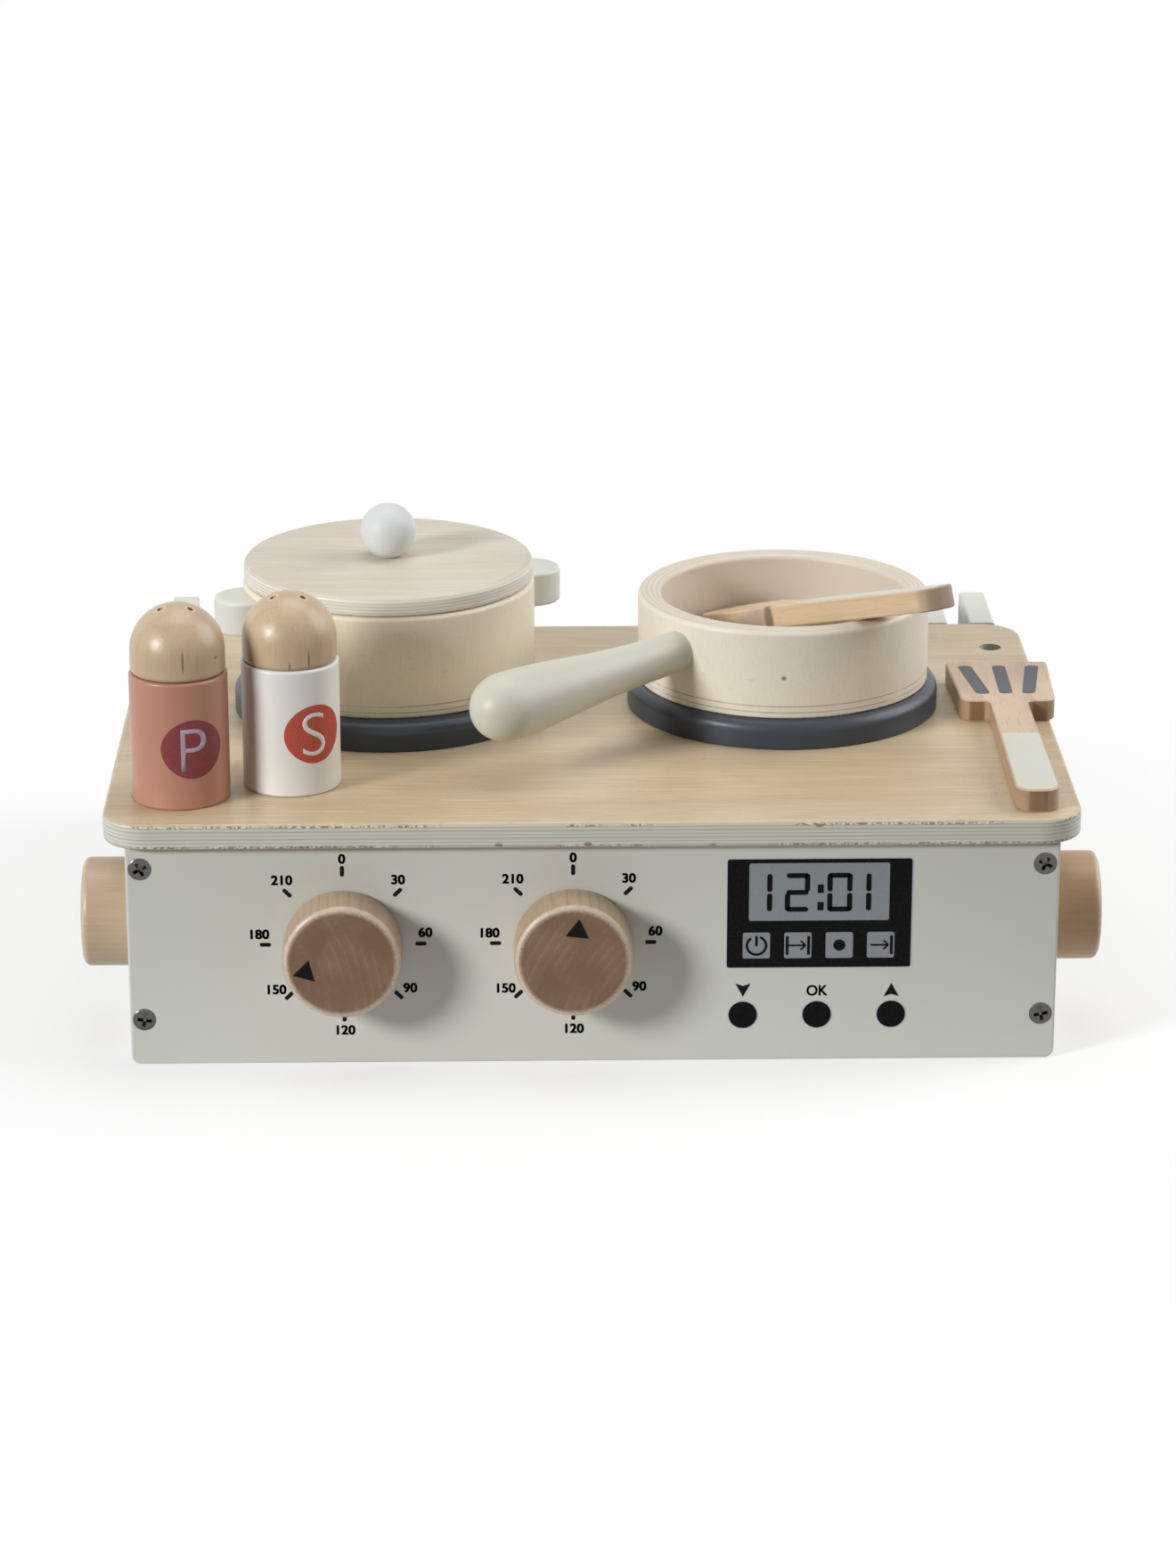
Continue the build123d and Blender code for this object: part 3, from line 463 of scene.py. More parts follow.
def milky_birch(name, middle, pale, warm):
    finish = new_finish(name, 0.48)
    where = own_coordinates(finish)
    height = axis_of(finish, where, 2)
    radius = from_upright(finish, middle)
    drift = noise(finish, own_coordinates(finish, scale=(1.0, 1.0, 0.6)), 15.0, 3.0, 0.6)
    colour = mixed(finish, ranged(finish, drift, 0.35, 0.75), pale, warm)
    upright = noise(finish, own_coordinates(finish, scale=(1.0, 1.0, 0.2)), 900.0, 3.0)
    colour = toned(finish, colour, BROWN_BIRCH, upright, 0.45, 0.8, 0.1)
    flecks = noise(finish, own_coordinates(finish, scale=(1.0, 1.0, 3.0)), 210.0, 1.0)
    colour = toned(finish, colour, BROWN_BIRCH, flecks, 0.68, 0.77, 0.14)
    upward = facing(finish, 2)
    # Faces that point up, such as the rims, are darkened: painted shade.
    colour = toned(finish, colour, (0.62, 0.53, 0.40), upward, 0.6, 0.9, 0.5)
    inside = ranged(finish, radius, INNER_RADIUS + 0.6 * MM, INNER_RADIUS + 1.6 * MM, 1.0, 0.0)
    inside = times(finish, inside, ranged(finish, upward, 0.3, 0.9, 0.75, 0.45))
    colour = mixed(finish, inside, colour, (0.65, 0.57, 0.47))
    layer = times(finish, minus(finish, radius, INNER_RADIUS), 1.0 / RIM_PLY)
    ring = ranged(finish, math_of(finish, "PINGPONG", layer, 0.5), 0.0, 0.14, 0.5, 0.0)
    ring = times(finish, ring, ranged(finish, upward, 0.25, 0.6))
    ring = times(finish, ring, ranged(finish, radius, INNER_RADIUS, INNER_RADIUS + MM))
    colour = mixed(finish, ring, colour, BROWN_BIRCH)
    for glue_height, strength in GLUE_LINES:
        gap = math_of(finish, "ABSOLUTE", minus(finish, height, glue_height))
        line = ranged(finish, gap, 0.0001, 0.0004, strength, 0.0)
        broken = ranged(finish, noise(finish, where, 60.0, 2.0), 0.35, 0.6, 0.35, 1.0)
        line = times(finish, line, ranged(finish, radius, OUTSIDE, OUTSIDE + 1.5 * MM))
        colour = mixed(finish, times(finish, line, broken), colour, BROWN_BIRCH)
    bumped(finish, minus(finish, upright, ring), 0.00009, 0.45)
    return finish, colour


PAN_SPOT = ((82.3, -57.7, 136.5), (1.5, 3.0, 1.1), (0.16, 0.07, 0.03))
# The pot's brighter, yellower tone is painted light with a warm bounce.
for vessel, middle, pale, warm, spots in (
    ("pot", (-85.5, 8.25), (0.87, 0.80, 0.635), (0.82, 0.74, 0.565), ()),
    ("pan", (85.5, 5.25), (0.79, 0.75, 0.66), (0.73, 0.675, 0.56), (PAN_SPOT,)),
):
    finish, colour = milky_birch("milky_birch_" + vessel, middle, pale, warm)
    for spot in spots:
        colour = stained(finish, colour, own_coordinates(finish), *spot)
    coloured(finish, colour)
    wear([vessel + "_wall", vessel + "_base"], finish)


# %% [markdown]
# The lid is cut from flat plywood, so its plies lie one above another, and show on its round
# edge as thin level lines. Its top has the worktop's long grain under the milky lacquer.

# %% Lid plywood
LID_FOOT, LID_PLY = 163.5 * MM, 1.4 * MM
lid = new_finish("milky_birch_lid", 0.48)
colour, lid_fibres = birch_grain(lid, (0.70, 0.65, 0.55), (0.60, 0.54, 0.435), (0.50, 0.41, 0.30))
lid_height = axis_of(lid, own_coordinates(lid), 2)
lid_layer = times(lid, minus(lid, lid_height, LID_FOOT), 1.0 / LID_PLY)
lid_line = math_of(lid, "PINGPONG", lid_layer, 0.5)
lid_line = ranged(lid, lid_line, 0.0, 0.18, 0.6, 0.0)
lid_side = ranged(lid, facing(lid, 2), 0.96, 0.85)
lid_line = times(lid, lid_line, lid_side)
lid_rim = ranged(lid, facing(lid, 2), 0.35, 0.9, 1.0, 0.0)
colour = mixed(lid, lid_rim, colour, (0.80, 0.79, 0.72))
coloured(lid, mixed(lid, lid_line, colour, BROWN_BIRCH))
bumped(lid, minus(lid, lid_fibres, lid_line), 0.0001, 0.4)
wear(["lid_plate", "lid_insert"], lid)


# %% [markdown]
# ## Beech
#
# Knobs, shaker caps, spoon, spatula and dowels are plain beech under clear lacquer. Wood is
# solid, so its figure is drawn in the solid too: growth rings lie round the tree's middle,
# somewhere outside the piece, and every surface cuts through the same rings. Where the cut
# crosses the grain, the wood drinks more lacquer and turns darker and redder. Where the
# shape is rounded, sanding has left the edge paler. The knob on the right side is painted
# warmer, as painted shade with a warm bounce.


# %% Beech cut from a log
def growth_rings(finish, where, letter, ring_gap):
    rings = add(finish, "TexWave", wave_type="RINGS", rings_direction=letter, wave_profile="SAW")
    put(finish, where, rings.inputs["Vector"])
    rings.inputs["Scale"].default_value = math.pi / (10.0 * ring_gap)
    rings.inputs["Distortion"].default_value = 2.6
    rings.inputs["Detail"].default_value = 2.0
    rings.inputs["Detail Scale"].default_value = 0.3
    return ranged(finish, rings.outputs["Fac"], 0.5, 1.0)


def beech(name, grain, log_middle, ring_gap, pale, tan, end, ring_strength=0.22, roughness=0.42,
          end_strength=0.9, tip=(0.0, 0.0, 0.0), turn=(0.0, 0.0, 0.0)):
    finish = new_finish(name, roughness, coat=0.15)
    where = laid(finish, "Object", tip, turn)
    from_log = vector_math(finish, "SUBTRACT", where, log_middle)
    late = growth_rings(finish, from_log, "XYZ"[grain], ring_gap)
    stretch = [14.0, 14.0, 14.0]
    stretch[grain] = 1.0
    drift_way = vector_math(finish, "MULTIPLY", where, tuple(value / 6.0 for value in stretch))
    drift = noise(finish, drift_way, 16.0, 3.0)
    colour = mixed(finish, ranged(finish, drift, 0.3, 0.75), pale, tan)
    colour = mixed(finish, times(finish, late, ring_strength), colour, end)
    fibres = noise(finish, vector_math(finish, "MULTIPLY", where, stretch), 75.0, 4.0)
    colour = toned(finish, colour, end, fibres, 0.5, 0.78, 0.3)
    cloud = noise(finish, where, 60.0, 3.0)
    late_share = times(finish, late, ranged(finish, cloud, 0.3, 0.7, 0.02, 0.22))
    end_colour = mixed(finish, late_share, end, tan)
    end_colour = toned(finish, end_colour, tan, cloud, 0.35, 0.7, 0.22)
    pores = ranged(finish, noise(finish, where, 1500.0, 1.0), 0.5, 0.75, 0.0, 0.35)
    end_colour = mixed(finish, pores, end_colour, tuple(value * 0.5 for value in end))
    across = ranged(finish, facing(finish, grain, turn), 0.93, 0.985, 0.0, end_strength)
    colour = mixed(finish, across, colour, end_colour)
    bumped(finish, minus(finish, fibres, pores), 0.00006, 0.6)
    return finish, colour


def rubbed_pale(finish, colour, share, size, low, high, pale):
    rubbed = noise(finish, own_coordinates(finish), size, 2.0)
    rubbed = ranged(finish, rubbed, 0.3, 0.7, low, high)
    return mixed(finish, times(finish, share, rubbed), colour, pale)


def sanded_edge(finish, colour, grain, pale):
    slant = facing(finish, grain)
    edge = ranged(finish, slant, 0.93, 0.985, 1.0, 0.0)
    edge = times(finish, ranged(finish, slant, 0.35, 0.6), edge)
    return rubbed_pale(finish, colour, edge, 300.0, 0.35, 0.85, pale)


KNOB_COLOURS = ((0.46, 0.345, 0.22), (0.40, 0.285, 0.17), (0.145, 0.062, 0.024))
SANDED = (0.62, 0.51, 0.40)
LEFT_DIAL_X, RIGHT_DIAL_X = -102.4, -8.3
KNOB_AXIS_HEIGHT = 52.0
KNOB_FACE_RIM = 20.7
for solid_name, knob_x, log_middle in (
    ("knob_left", LEFT_DIAL_X, (-0.172, 0.0, 0.030)),
    ("knob_right", RIGHT_DIAL_X, (0.060, 0.0, 0.010)),
):
    wood, colour = beech("beech_" + solid_name, 1, log_middle, 0.0036, *KNOB_COLOURS)
    colour = sanded_edge(wood, colour, 1, SANDED)
    axis_shift = (-knob_x * MM, 0.0, -KNOB_AXIS_HEIGHT * MM)
    from_axis = length_of(wood, own_coordinates(wood, (1.0, 0.0, 1.0), axis_shift))
    rim = ranged(wood, from_axis, KNOB_FACE_RIM * MM, (KNOB_FACE_RIM + 1.6) * MM)
    rim = times(wood, rim, ranged(wood, facing(wood, 1), 0.6, 0.8))
    coloured(wood, rubbed_pale(wood, colour, rim, 1500.0, 0.3, 0.8, SANDED))
    wear([solid_name], wood)


# %% Side knobs and dowels
for solid_name, pale, tan in (
    ("side_knob_left", (0.53, 0.405, 0.275), (0.47, 0.345, 0.225)),
    # The right knob's warmer tone is painted shade with a warm bounce.
    ("side_knob_right", (0.57, 0.365, 0.20), (0.51, 0.31, 0.16)),
):
    wood, colour = beech(
        "beech_" + solid_name, 0, (0.0, -0.15, 0.09), 0.0032, pale, tan, (0.34, 0.22, 0.125), 0.10
    )
    coloured(wood, sanded_edge(wood, colour, 0, (0.62, 0.50, 0.37)))
    wear([solid_name], wood)
wood, colour = beech("beech_dowel", 1, (0.02, 0.0, 0.02), 0.002, *KNOB_COLOURS)
coloured(wood, colour)
wear(["rail_dowels", "arm_dowels", "pot_ear_dowels"], wood)


# %% [markdown]
# The shaker caps were turned on a lathe with the grain upright. Their lacquer is glossy,
# and it follows the wood's fine pores, so the highlight breaks up. A short dark crack and a
# dot mark the pepper cap, and two short lines the salt cap. A pale rim is drawn round each
# of the six holes.

# %% Shaker caps
CAP_HOLE_CIRCLE, CAP_HOLE_RADIUS = 7.0, 1.4
PEPPER_MIDDLE, SALT_MIDDLE = (-169.0, -114.25), (-124.0, -98.75)
CAP_MARKS = (
    ((-165.6, -133.4, 169.0), (0.6, 3.0, 6.0)), ((-152.7, -125.0, 168.6), (0.9, 1.5, 0.7)),
    ((-115.4, -116.2, 164.3), (0.5, 2.0, 5.0)), ((-123.2, -118.2, 162.0), (0.5, 2.0, 2.6)),
)
wood, colour = beech(
    "beech_cap", 2, (-0.150, -0.230, 0.0), 0.0062,
    (0.58, 0.44, 0.28), (0.47, 0.34, 0.205), (0.31, 0.20, 0.11),
    ring_strength=0.1, roughness=0.38, end_strength=0.15,
)
cap_where = own_coordinates(wood)
for place, size in CAP_MARKS:
    colour = stained(wood, colour, cap_where, place, size, (0.20, 0.085, 0.035), 0.85)
for cap_x, cap_y in (PEPPER_MIDDLE, SALT_MIDDLE):
    for turn in (90, 210, 330):
        hole_x = cap_x + CAP_HOLE_CIRCLE * math.cos(math.radians(turn))
        hole_y = cap_y + CAP_HOLE_CIRCLE * math.sin(math.radians(turn))
        from_hole = from_upright(wood, (hole_x, hole_y))
        rim = ranged(wood, from_hole, CAP_HOLE_RADIUS * MM, (CAP_HOLE_RADIUS + 0.1) * MM)
        rim_end = ranged(wood, from_hole, 1.9 * MM, 2.4 * MM, 0.75, 0.0)
        colour = mixed(wood, times(wood, rim, rim_end), colour, (0.74, 0.61, 0.44))
coloured(wood, colour)
bumped(wood, noise(wood, cap_where, 700.0, 2.0), 0.00016, 0.5)
wear(["pepper_cap", "salt_cap"], wood)


# %% [markdown]
# The spoon leans in the pan, turned and tilted, so its grain doesn't follow the world's
# axes. A Mapping node of the Texture kind undoes the turn: inside the material the spoon
# lies straight again, with its tip at zero and its handle along X. Two brown patches, one
# of them dark and narrow, cross it behind the bowl, where the head narrows into the handle,
# and the end grain of its handle is grey-brown.

# %% Spatula and spoon wood
wood, colour = beech(
    "beech_spatula", 1, (0.15, 0.0, 0.02), 0.0075,
    (0.60, 0.45, 0.31), (0.53, 0.375, 0.24), (0.17, 0.085, 0.04), ring_strength=0.2,
)
sides = ranged(wood, facing(wood, 2), 0.4, 0.8, 0.55, 0.0)
coloured(wood, mixed(wood, sides, colour, (0.27, 0.145, 0.07)))
wear(["spatula"], wood)

SPOON_TIP = (59.5 * MM, 46.15 * MM, 124.94 * MM)
SPOON_TURN = (0.0, -math.radians(17.544), -math.radians(54.6))
# Two brown patches behind the bowl, where the head narrows into the handle.
SPOON_BROWN_PATCHES = (
    ((41.0, -9.0, 4.0), (11.0, 9.0, 9.0), (0.42, 0.33, 0.26), 0.75),
    ((50.0, -9.0, 4.5), (3.6, 7.0, 9.0), (0.16, 0.10, 0.07), 0.85),
)
wood, colour = beech(
    "beech_spoon", 0, (0.0, -0.03, 0.05), 0.006,
    (0.76, 0.59, 0.40), (0.67, 0.49, 0.31), (0.34, 0.22, 0.14),
    ring_strength=0.15, end_strength=0.3, tip=SPOON_TIP, turn=SPOON_TURN,
)
spoon_where = laid(wood, "Object", SPOON_TIP, SPOON_TURN)
spoon_end = ranged(wood, axis_of(wood, spoon_where, 0), 151.0 * MM, 158.0 * MM, 0.0, 0.8)
colour = mixed(wood, spoon_end, colour, (0.27, 0.195, 0.125))
for brown_mark in SPOON_BROWN_PATCHES:
    colour = stained(wood, colour, spoon_where, *brown_mark)
coloured(wood, colour)
wear(["spoon"], wood)


# %% [markdown]
# ## Steel
#
# The screws, spindles, washers and nuts are plated steel. The plating is brushed by handling,
# so its roughness wanders a little.


# %% Plated steel
def plated(name, colour, roughness):
    finish = new_finish(name, roughness, metallic=1.0)
    smear = noise(finish, own_coordinates(finish), 500.0, 3.0)
    wander = ranged(finish, smear, 0.3, 0.7, roughness * 0.7, roughness * 1.4)
    put(finish, wander, shader_of(finish).inputs["Roughness"])
    darker = tuple(value * 0.6 for value in colour)
    coloured(finish, mixed(finish, ranged(finish, smear, 0.45, 0.8, 0.0, 0.6), colour, darker))
    return finish


zinc = plated("zinc_steel", (0.60, 0.61, 0.62), 0.35)
dark_chrome = plated("dark_chrome", (0.12, 0.117, 0.108), 0.2)
wear(["burner_screws", "side_knob_screws", "lid_screw"], zinc)
for kind in ("knob_spindle", "knob_washer", "knob_nut"):
    wear([kind + "_left", kind + "_right"], zinc)


# %% [markdown]
# ## Drawing the printed panel
#
# The dials and the display are printed on the front board. The easy way to build them is to
# draw flat, as on paper: X is the board's X and Y is the height on the board. Each drawing is
# joined, given the thickness of a film of ink, and only then stood up against the board.
# Small helpers select a piece, settle its place into its mesh and thicken it.


# %% Helpers for drawing
def only(piece):
    bpy.ops.object.select_all(action="DESELECT")
    piece.select_set(True)
    bpy.context.view_layer.objects.active = piece


def settle(piece):
    only(piece)
    bpy.ops.object.transform_apply(location=True, rotation=True, scale=True)
    return piece


def placed(piece, turn, place):
    piece.rotation_euler = turn
    piece.location = place
    return settle(piece)


def go_to(mode):
    bpy.ops.object.mode_set(mode=mode)


def begin_edit(piece):
    only(piece)
    go_to("EDIT")
    bpy.ops.mesh.select_all(action="SELECT")


def end_edit():
    bpy.ops.mesh.select_all(action="SELECT")
    bpy.ops.mesh.normals_make_consistent(inside=False)
    go_to("OBJECT")


def joined(parts, name):
    bpy.ops.object.select_all(action="DESELECT")
    for part in parts:
        part.select_set(True)
    bpy.context.view_layer.objects.active = parts[0]
    if len(parts) > 1:
        bpy.ops.object.join()
    whole = bpy.context.active_object
    whole.name = name
    whole.data.name = name
    return whole


def thickened(piece, thickness):
    begin_edit(piece)
    bpy.ops.mesh.extrude_region_move(TRANSFORM_OT_translate={"value": (0.0, 0.0, thickness)})
    end_edit()
    return piece


def bevelled(piece, radius, segments):
    begin_edit(piece)
    bpy.ops.mesh.bevel(offset=radius * MM, segments=segments, affect="VERTICES")
    end_edit()


INK = 0.10 * MM
LEVEL = (0.0, 0.0, 0.0)
UPRIGHT = (math.pi / 2, 0.0, 0.0)


# %% Flat shapes
def flat_plate(x, y, width, height, corner=0.0, turn=0.0):
    bpy.ops.mesh.primitive_plane_add(size=1.0)
    plate = bpy.context.active_object
    plate.scale = (width * MM, height * MM, 1.0)
    settle(plate)
    if corner:
        bevelled(plate, corner, 6)
    return placed(plate, (0.0, 0.0, turn), (x * MM, y * MM, 0.0))


def flat_disc(x, y, radius, vertices=64):
    bpy.ops.mesh.primitive_circle_add(
        vertices=vertices, radius=radius * MM, fill_type="NGON", location=(x * MM, y * MM, 0.0)
    )
    return settle(bpy.context.active_object)


def flat_text(words, x, y, cap_height, bolder=0.0, spacing=1.0, width=None):
    bpy.ops.object.text_add()
    text = bpy.context.active_object
    text.data.body = words
    text.data.align_x = "CENTER"
    text.data.align_y = "CENTER"
    text.data.space_character = spacing
    text.data.offset = bolder
    text.data.resolution_u = 6
    bpy.ops.object.convert(target="MESH")
    shape = bpy.context.active_object
    heights = [vertex.co.y for vertex in shape.data.vertices]
    sides = [vertex.co.x for vertex in shape.data.vertices]
    middle_x, middle_y = (max(sides) + min(sides)) / 2, (max(heights) + min(heights)) / 2
    size = cap_height * MM / (max(heights) - min(heights))
    across = width * MM / (max(sides) - min(sides)) if width else size
    shape.scale = (across, size, size)
    return placed(shape, LEVEL, (x * MM - middle_x * across, y * MM - middle_y * size, 0.0))


def stood_up(parts, name, wall_y):
    return placed(thickened(joined(parts, name), INK), UPRIGHT, (0.0, wall_y, 0.0))


def finished(piece, finish, body):
    piece.data.materials.clear()
    piece.data.materials.append(finish)
    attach(piece, body)
    print(piece.name, "made,", len(piece.data.polygons), "faces")
    return piece


BOARD_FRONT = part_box("front_panel")[0].y
print("front board at", round(BOARD_FRONT / MM, 2), "mm")


def printed(parts, name, films_below, finish):
    wall_y = BOARD_FRONT - films_below * INK
    finished(stood_up(parts, name, wall_y), finish, "hob")


# %% [markdown]
# ### Inks
#
# Ink is thin and slightly uneven. Black is smooth on the display and duller on the board. A
# fine noise changes the tone and the roughness a touch, so no print is one flat colour.


# %% Ink finishes
def ink(name, colour, roughness, variation=0.25, gloss=0.05):
    finish = new_finish(name, roughness, gloss=gloss)
    grain = noise(finish, own_coordinates(finish), 1100.0, 2.0)
    lighter = tuple(min(1.0, value * (1.0 + variation) + 0.004) for value in colour)
    coloured(finish, mixed(finish, ranged(finish, grain, 0.3, 0.7), colour, lighter))
    bumped(finish, grain, 0.00003, 0.3)
    return finish


glossy_black = ink("glossy_black_ink", (0.004, 0.004, 0.004), 0.3)
board_black = ink("board_black_ink", (0.007, 0.007, 0.008), 0.45)
display_grey = ink("display_grey_ink", (0.265, 0.28, 0.30), 0.4, 0.08, 0.2)
outline_grey = ink("outline_grey_ink", (0.52, 0.55, 0.60), 0.45, 0.1, 0.2)
sign_maroon = ink("dark_red_sign_ink", (0.20, 0.030, 0.033), 0.42, 0.2, 0.4)
sign_red = ink("orange_red_sign_ink", (0.43, 0.065, 0.038), 0.42, 0.2, 0.4)
sign_lilac = ink("lilac_letter_ink", (0.46, 0.34, 0.43), 0.42, 0.12, 0.4)
sign_white = ink("white_letter_ink", (0.74, 0.74, 0.72), 0.42, 0.05, 0.4)
print("inks ready")


# %% [markdown]
# ### The two dials
#
# Eight short rounded strokes stand round each knob, one every 45 degrees, with bold numbers
# from 0 to 210 outside them. One stroke is drawn for each place, turned round the dial. The
# built-in letters are thin, so each number is printed five times, shifted by under a fifth
# of a millimetre, which makes it bold.


# %% Dial marks
DIAL_HEIGHT = 52.5
TICK_RADIUS = 31.8
TICK_WIDTH, TICK_LENGTH, TICK_ROUNDING = 1.65, 4.6, 0.78
NUMBER_HEIGHT = 4.0
BOLD_SHIFTS = ((0.0, 0.0), (0.18, 0.12), (-0.18, 0.12), (0.18, -0.12), (-0.18, -0.12))
DIAL_NUMBERS = (
    ("0", 0.0, 37.15), ("30", 22.8, 28.05), ("60", 33.7, 4.95), ("90", 27.2, -19.35),
    ("120", 0.5, -37.85), ("150", -27.5, -19.75), ("180", -34.0, 4.55), ("210", -24.6, 28.05),
)


def dial(name, centre_x):
    marks = []
    for index in range(8):
        angle = index * math.pi / 4
        x = centre_x + TICK_RADIUS * math.sin(angle)
        y = DIAL_HEIGHT + TICK_RADIUS * math.cos(angle)
        marks.append(flat_plate(x, y, TICK_WIDTH, TICK_LENGTH, TICK_ROUNDING, -angle))
    for words, dx, dy in DIAL_NUMBERS:
        for across, up in BOLD_SHIFTS:
            x, y = centre_x + dx + across, DIAL_HEIGHT + dy + up
            marks.append(flat_text(words, x, y, NUMBER_HEIGHT, bolder=0.006, spacing=1.03))
    printed(marks, name, 0, board_black)


dial("dial_marks_left", LEFT_DIAL_X)
dial("dial_marks_right", RIGHT_DIAL_X)


# %% [markdown]
# ### The clock display
#
# A black plate with a fine pale outline carries a grey window and four grey keys. The time in
# the window is drawn with seven-bar digits: each bar is a plate with rounded ends. Layers
# are stood up one ink film in front of another.


# %% Plate, window and keys
PLATE = (92.4, 64.65)
KEY_XS = (66.8, 83.8, 100.8, 117.8)
KEY_Y = 50.7
printed([flat_plate(*PLATE, 76.4, 48.2, 1.4)], "display_outline", 0, outline_grey)
printed([flat_plate(*PLATE, 75.4, 47.3, 1.0)], "display_plate", 1, glossy_black)
window = flat_plate(92.3, 74.05, 57.4, 25.0, 0.9)
printed([window], "display_window", 2, display_grey)
keys = [flat_plate(x, KEY_Y, 11.2, 11.3, 0.9) for x in KEY_XS]
printed(keys, "display_keys", 2, display_grey)


# %% Seven-bar digits
BAR = 2.1
DIGIT_WIDTH, DIGIT_HEIGHT = 10.2, 16.8
BAR_ROUNDING = BAR * 0.47
BARS_OF = {"0": "abcdef", "1": "bc", "2": "abged"}


def bar(letter, left, foot):
    right, top = left + DIGIT_WIDTH, foot + DIGIT_HEIGHT
    rows = {"a": top - BAR / 2, "g": foot + DIGIT_HEIGHT / 2, "d": foot + BAR / 2}
    if letter in rows:
        return flat_plate((left + right) / 2, rows[letter], DIGIT_WIDTH - 1.3, BAR, BAR_ROUNDING)
    x = right - BAR / 2 if letter in "bc" else left + BAR / 2
    y = foot + DIGIT_HEIGHT * (0.75 if letter in "bf" else 0.25)
    return flat_plate(x, y, BAR, DIGIT_HEIGHT / 2 - 0.7, BAR_ROUNDING)


def clock_signs():
    digits = (("1", 62.8), ("2", 78.2), ("0", 95.5), ("1", 103.3))
    signs = [bar(letter, left, 65.45) for digit, left in digits for letter in BARS_OF[digit]]
    signs += [flat_plate(92.8, y, 2.5, 3.6, 0.2) for y in (75.4, 67.8)]
    return signs


printed(clock_signs(), "display_digits", 3, glossy_black)


# %% Signs on the keys
def arc_band(x, y, radius, width, start, stop):
    bpy.ops.mesh.primitive_plane_add(size=1.0)
    band = bpy.context.active_object
    band.scale = (width * MM, width * MM, 1.0)
    band.location = (0.0, radius * MM, 0.0)
    settle(band)
    begin_edit(band)
    bpy.ops.mesh.delete(type="ONLY_FACE")
    go_to("OBJECT")
    for edge in band.data.edges:
        ends = [band.data.vertices[index].co.x for index in edge.vertices]
        edge.select = max(ends) < 0.0
    for vertex in band.data.vertices:
        vertex.select = vertex.co.x < 0.0
    go_to("EDIT")
    bpy.ops.mesh.select_all(action="INVERT")
    bpy.ops.mesh.delete(type="VERT")
    bpy.ops.mesh.select_all(action="SELECT")
    bpy.ops.mesh.spin(
        steps=48, angle=math.radians(stop - start), center=(0.0, 0.0, 0.0), axis=(0.0, 0.0, -1.0)
    )
    end_edit()
    return placed(band, (0.0, 0.0, math.radians(start)), (x * MM, y * MM, 0.0))


def arrow_sign(x, y, reach, double):
    parts = [flat_plate(x - 0.6, y, reach, 0.75)]
    barb_x = x - 1.45 + reach / 2
    for side in (-1, 1):
        parts.append(flat_plate(barb_x, y + side * 0.95, 2.8, 0.72, 0.0, -side * math.pi / 4))
    stops = (x - 4.4, x + 4.4) if double else (x + 4.4,)
    return parts + [flat_plate(stop, y, 1.15, 8.2) for stop in stops]


key_signs = [arc_band(KEY_XS[0], KEY_Y, radius=3.9, width=1.0, start=28, stop=332)]
key_signs += [flat_plate(KEY_XS[0], KEY_Y + 2.0, 1.0, 4.4)]
key_signs += arrow_sign(KEY_XS[1], KEY_Y, 7.2, True)
key_signs += [flat_disc(KEY_XS[2], KEY_Y, 2.45)]
key_signs += arrow_sign(KEY_XS[3], KEY_Y, 7.2, False)
printed(key_signs, "display_key_signs", 3, glossy_black)


# %% Buttons and their signs
BUTTON_XS = (61.5, 92.0, 122.6)
BUTTON_Y = 20.1


def arrowhead(x, y, up):
    head = flat_disc(0.0, 0.0, 1.0, 4)
    places = {"top": (0.0, 2.9), "left": (-3.1, -2.9), "right": (3.1, -2.9), "bottom": (0.0, -1.9)}
    for vertex in head.data.vertices:
        if abs(vertex.co.x) > abs(vertex.co.y):
            corner = places["left" if vertex.co.x < 0 else "right"]
        else:
            corner = places["top" if vertex.co.y > 0 else "bottom"]
        vertex.co.x, vertex.co.y = corner[0] * MM, corner[1] * MM
    return placed(head, (0.0, 0.0, 0.0 if up else math.pi), (x * MM, y * MM, 0.0))


for radius, name, films_below, finish, slot_name in (
    (6.3, "button_rings", 0, outline_grey, "grey_print"),
    (5.85, "button_discs", 1, glossy_black, "black_print"),
):
    discs = [flat_disc(x, BUTTON_Y, radius) for x in BUTTON_XS]
    printed(discs, name, films_below, finish)
button_signs = [arrowhead(BUTTON_XS[0], 31.0, False), arrowhead(BUTTON_XS[2], 30.8, True)]
for across, up in BOLD_SHIFTS:
    place = (BUTTON_XS[1] + across * 0.7, 30.7 + up * 0.7)
    button_signs.append(flat_text("OK", *place, 4.5, width=8.4))
printed(button_signs, "button_signs", 0, board_black)


# %% [markdown]
# ### Pointers on the knobs
#
# Each knob has a black triangle near the rim of its round face. It is a three-sided circle
# whose corners are moved to their places and barely rounded.


# %% Knob pointers
KNOB_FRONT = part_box("knob_left")[0].y


def pointer(name, knob_x, reach, turn, body):
    base_radius, half_width = reach - 8.0, 4.8
    triangle = flat_disc(0.0, 0.0, 1.0, 3)
    corners = sorted(triangle.data.vertices, key=lambda vertex: vertex.co.x)
    tip = max(corners, key=lambda vertex: vertex.co.y)
    base = [vertex for vertex in corners if vertex is not tip]
    tip.co.x, tip.co.y = 0.0, reach * MM
    base[0].co.x, base[0].co.y = -half_width * MM, base_radius * MM
    base[1].co.x, base[1].co.y = half_width * MM, base_radius * MM
    bevelled(triangle, 0.25, 2)
    placed(triangle, (0.0, 0.0, -math.radians(turn)), (knob_x * MM, KNOB_AXIS_HEIGHT * MM, 0.0))
    finished(stood_up([triangle], name, KNOB_FRONT), board_black, body)


pointer("knob_left_pointer", LEFT_DIAL_X, reach=20.6, turn=255.5, body="knob_left_set")
pointer("knob_right_pointer", RIGHT_DIAL_X, reach=18.7, turn=7.0, body="knob_right_set")


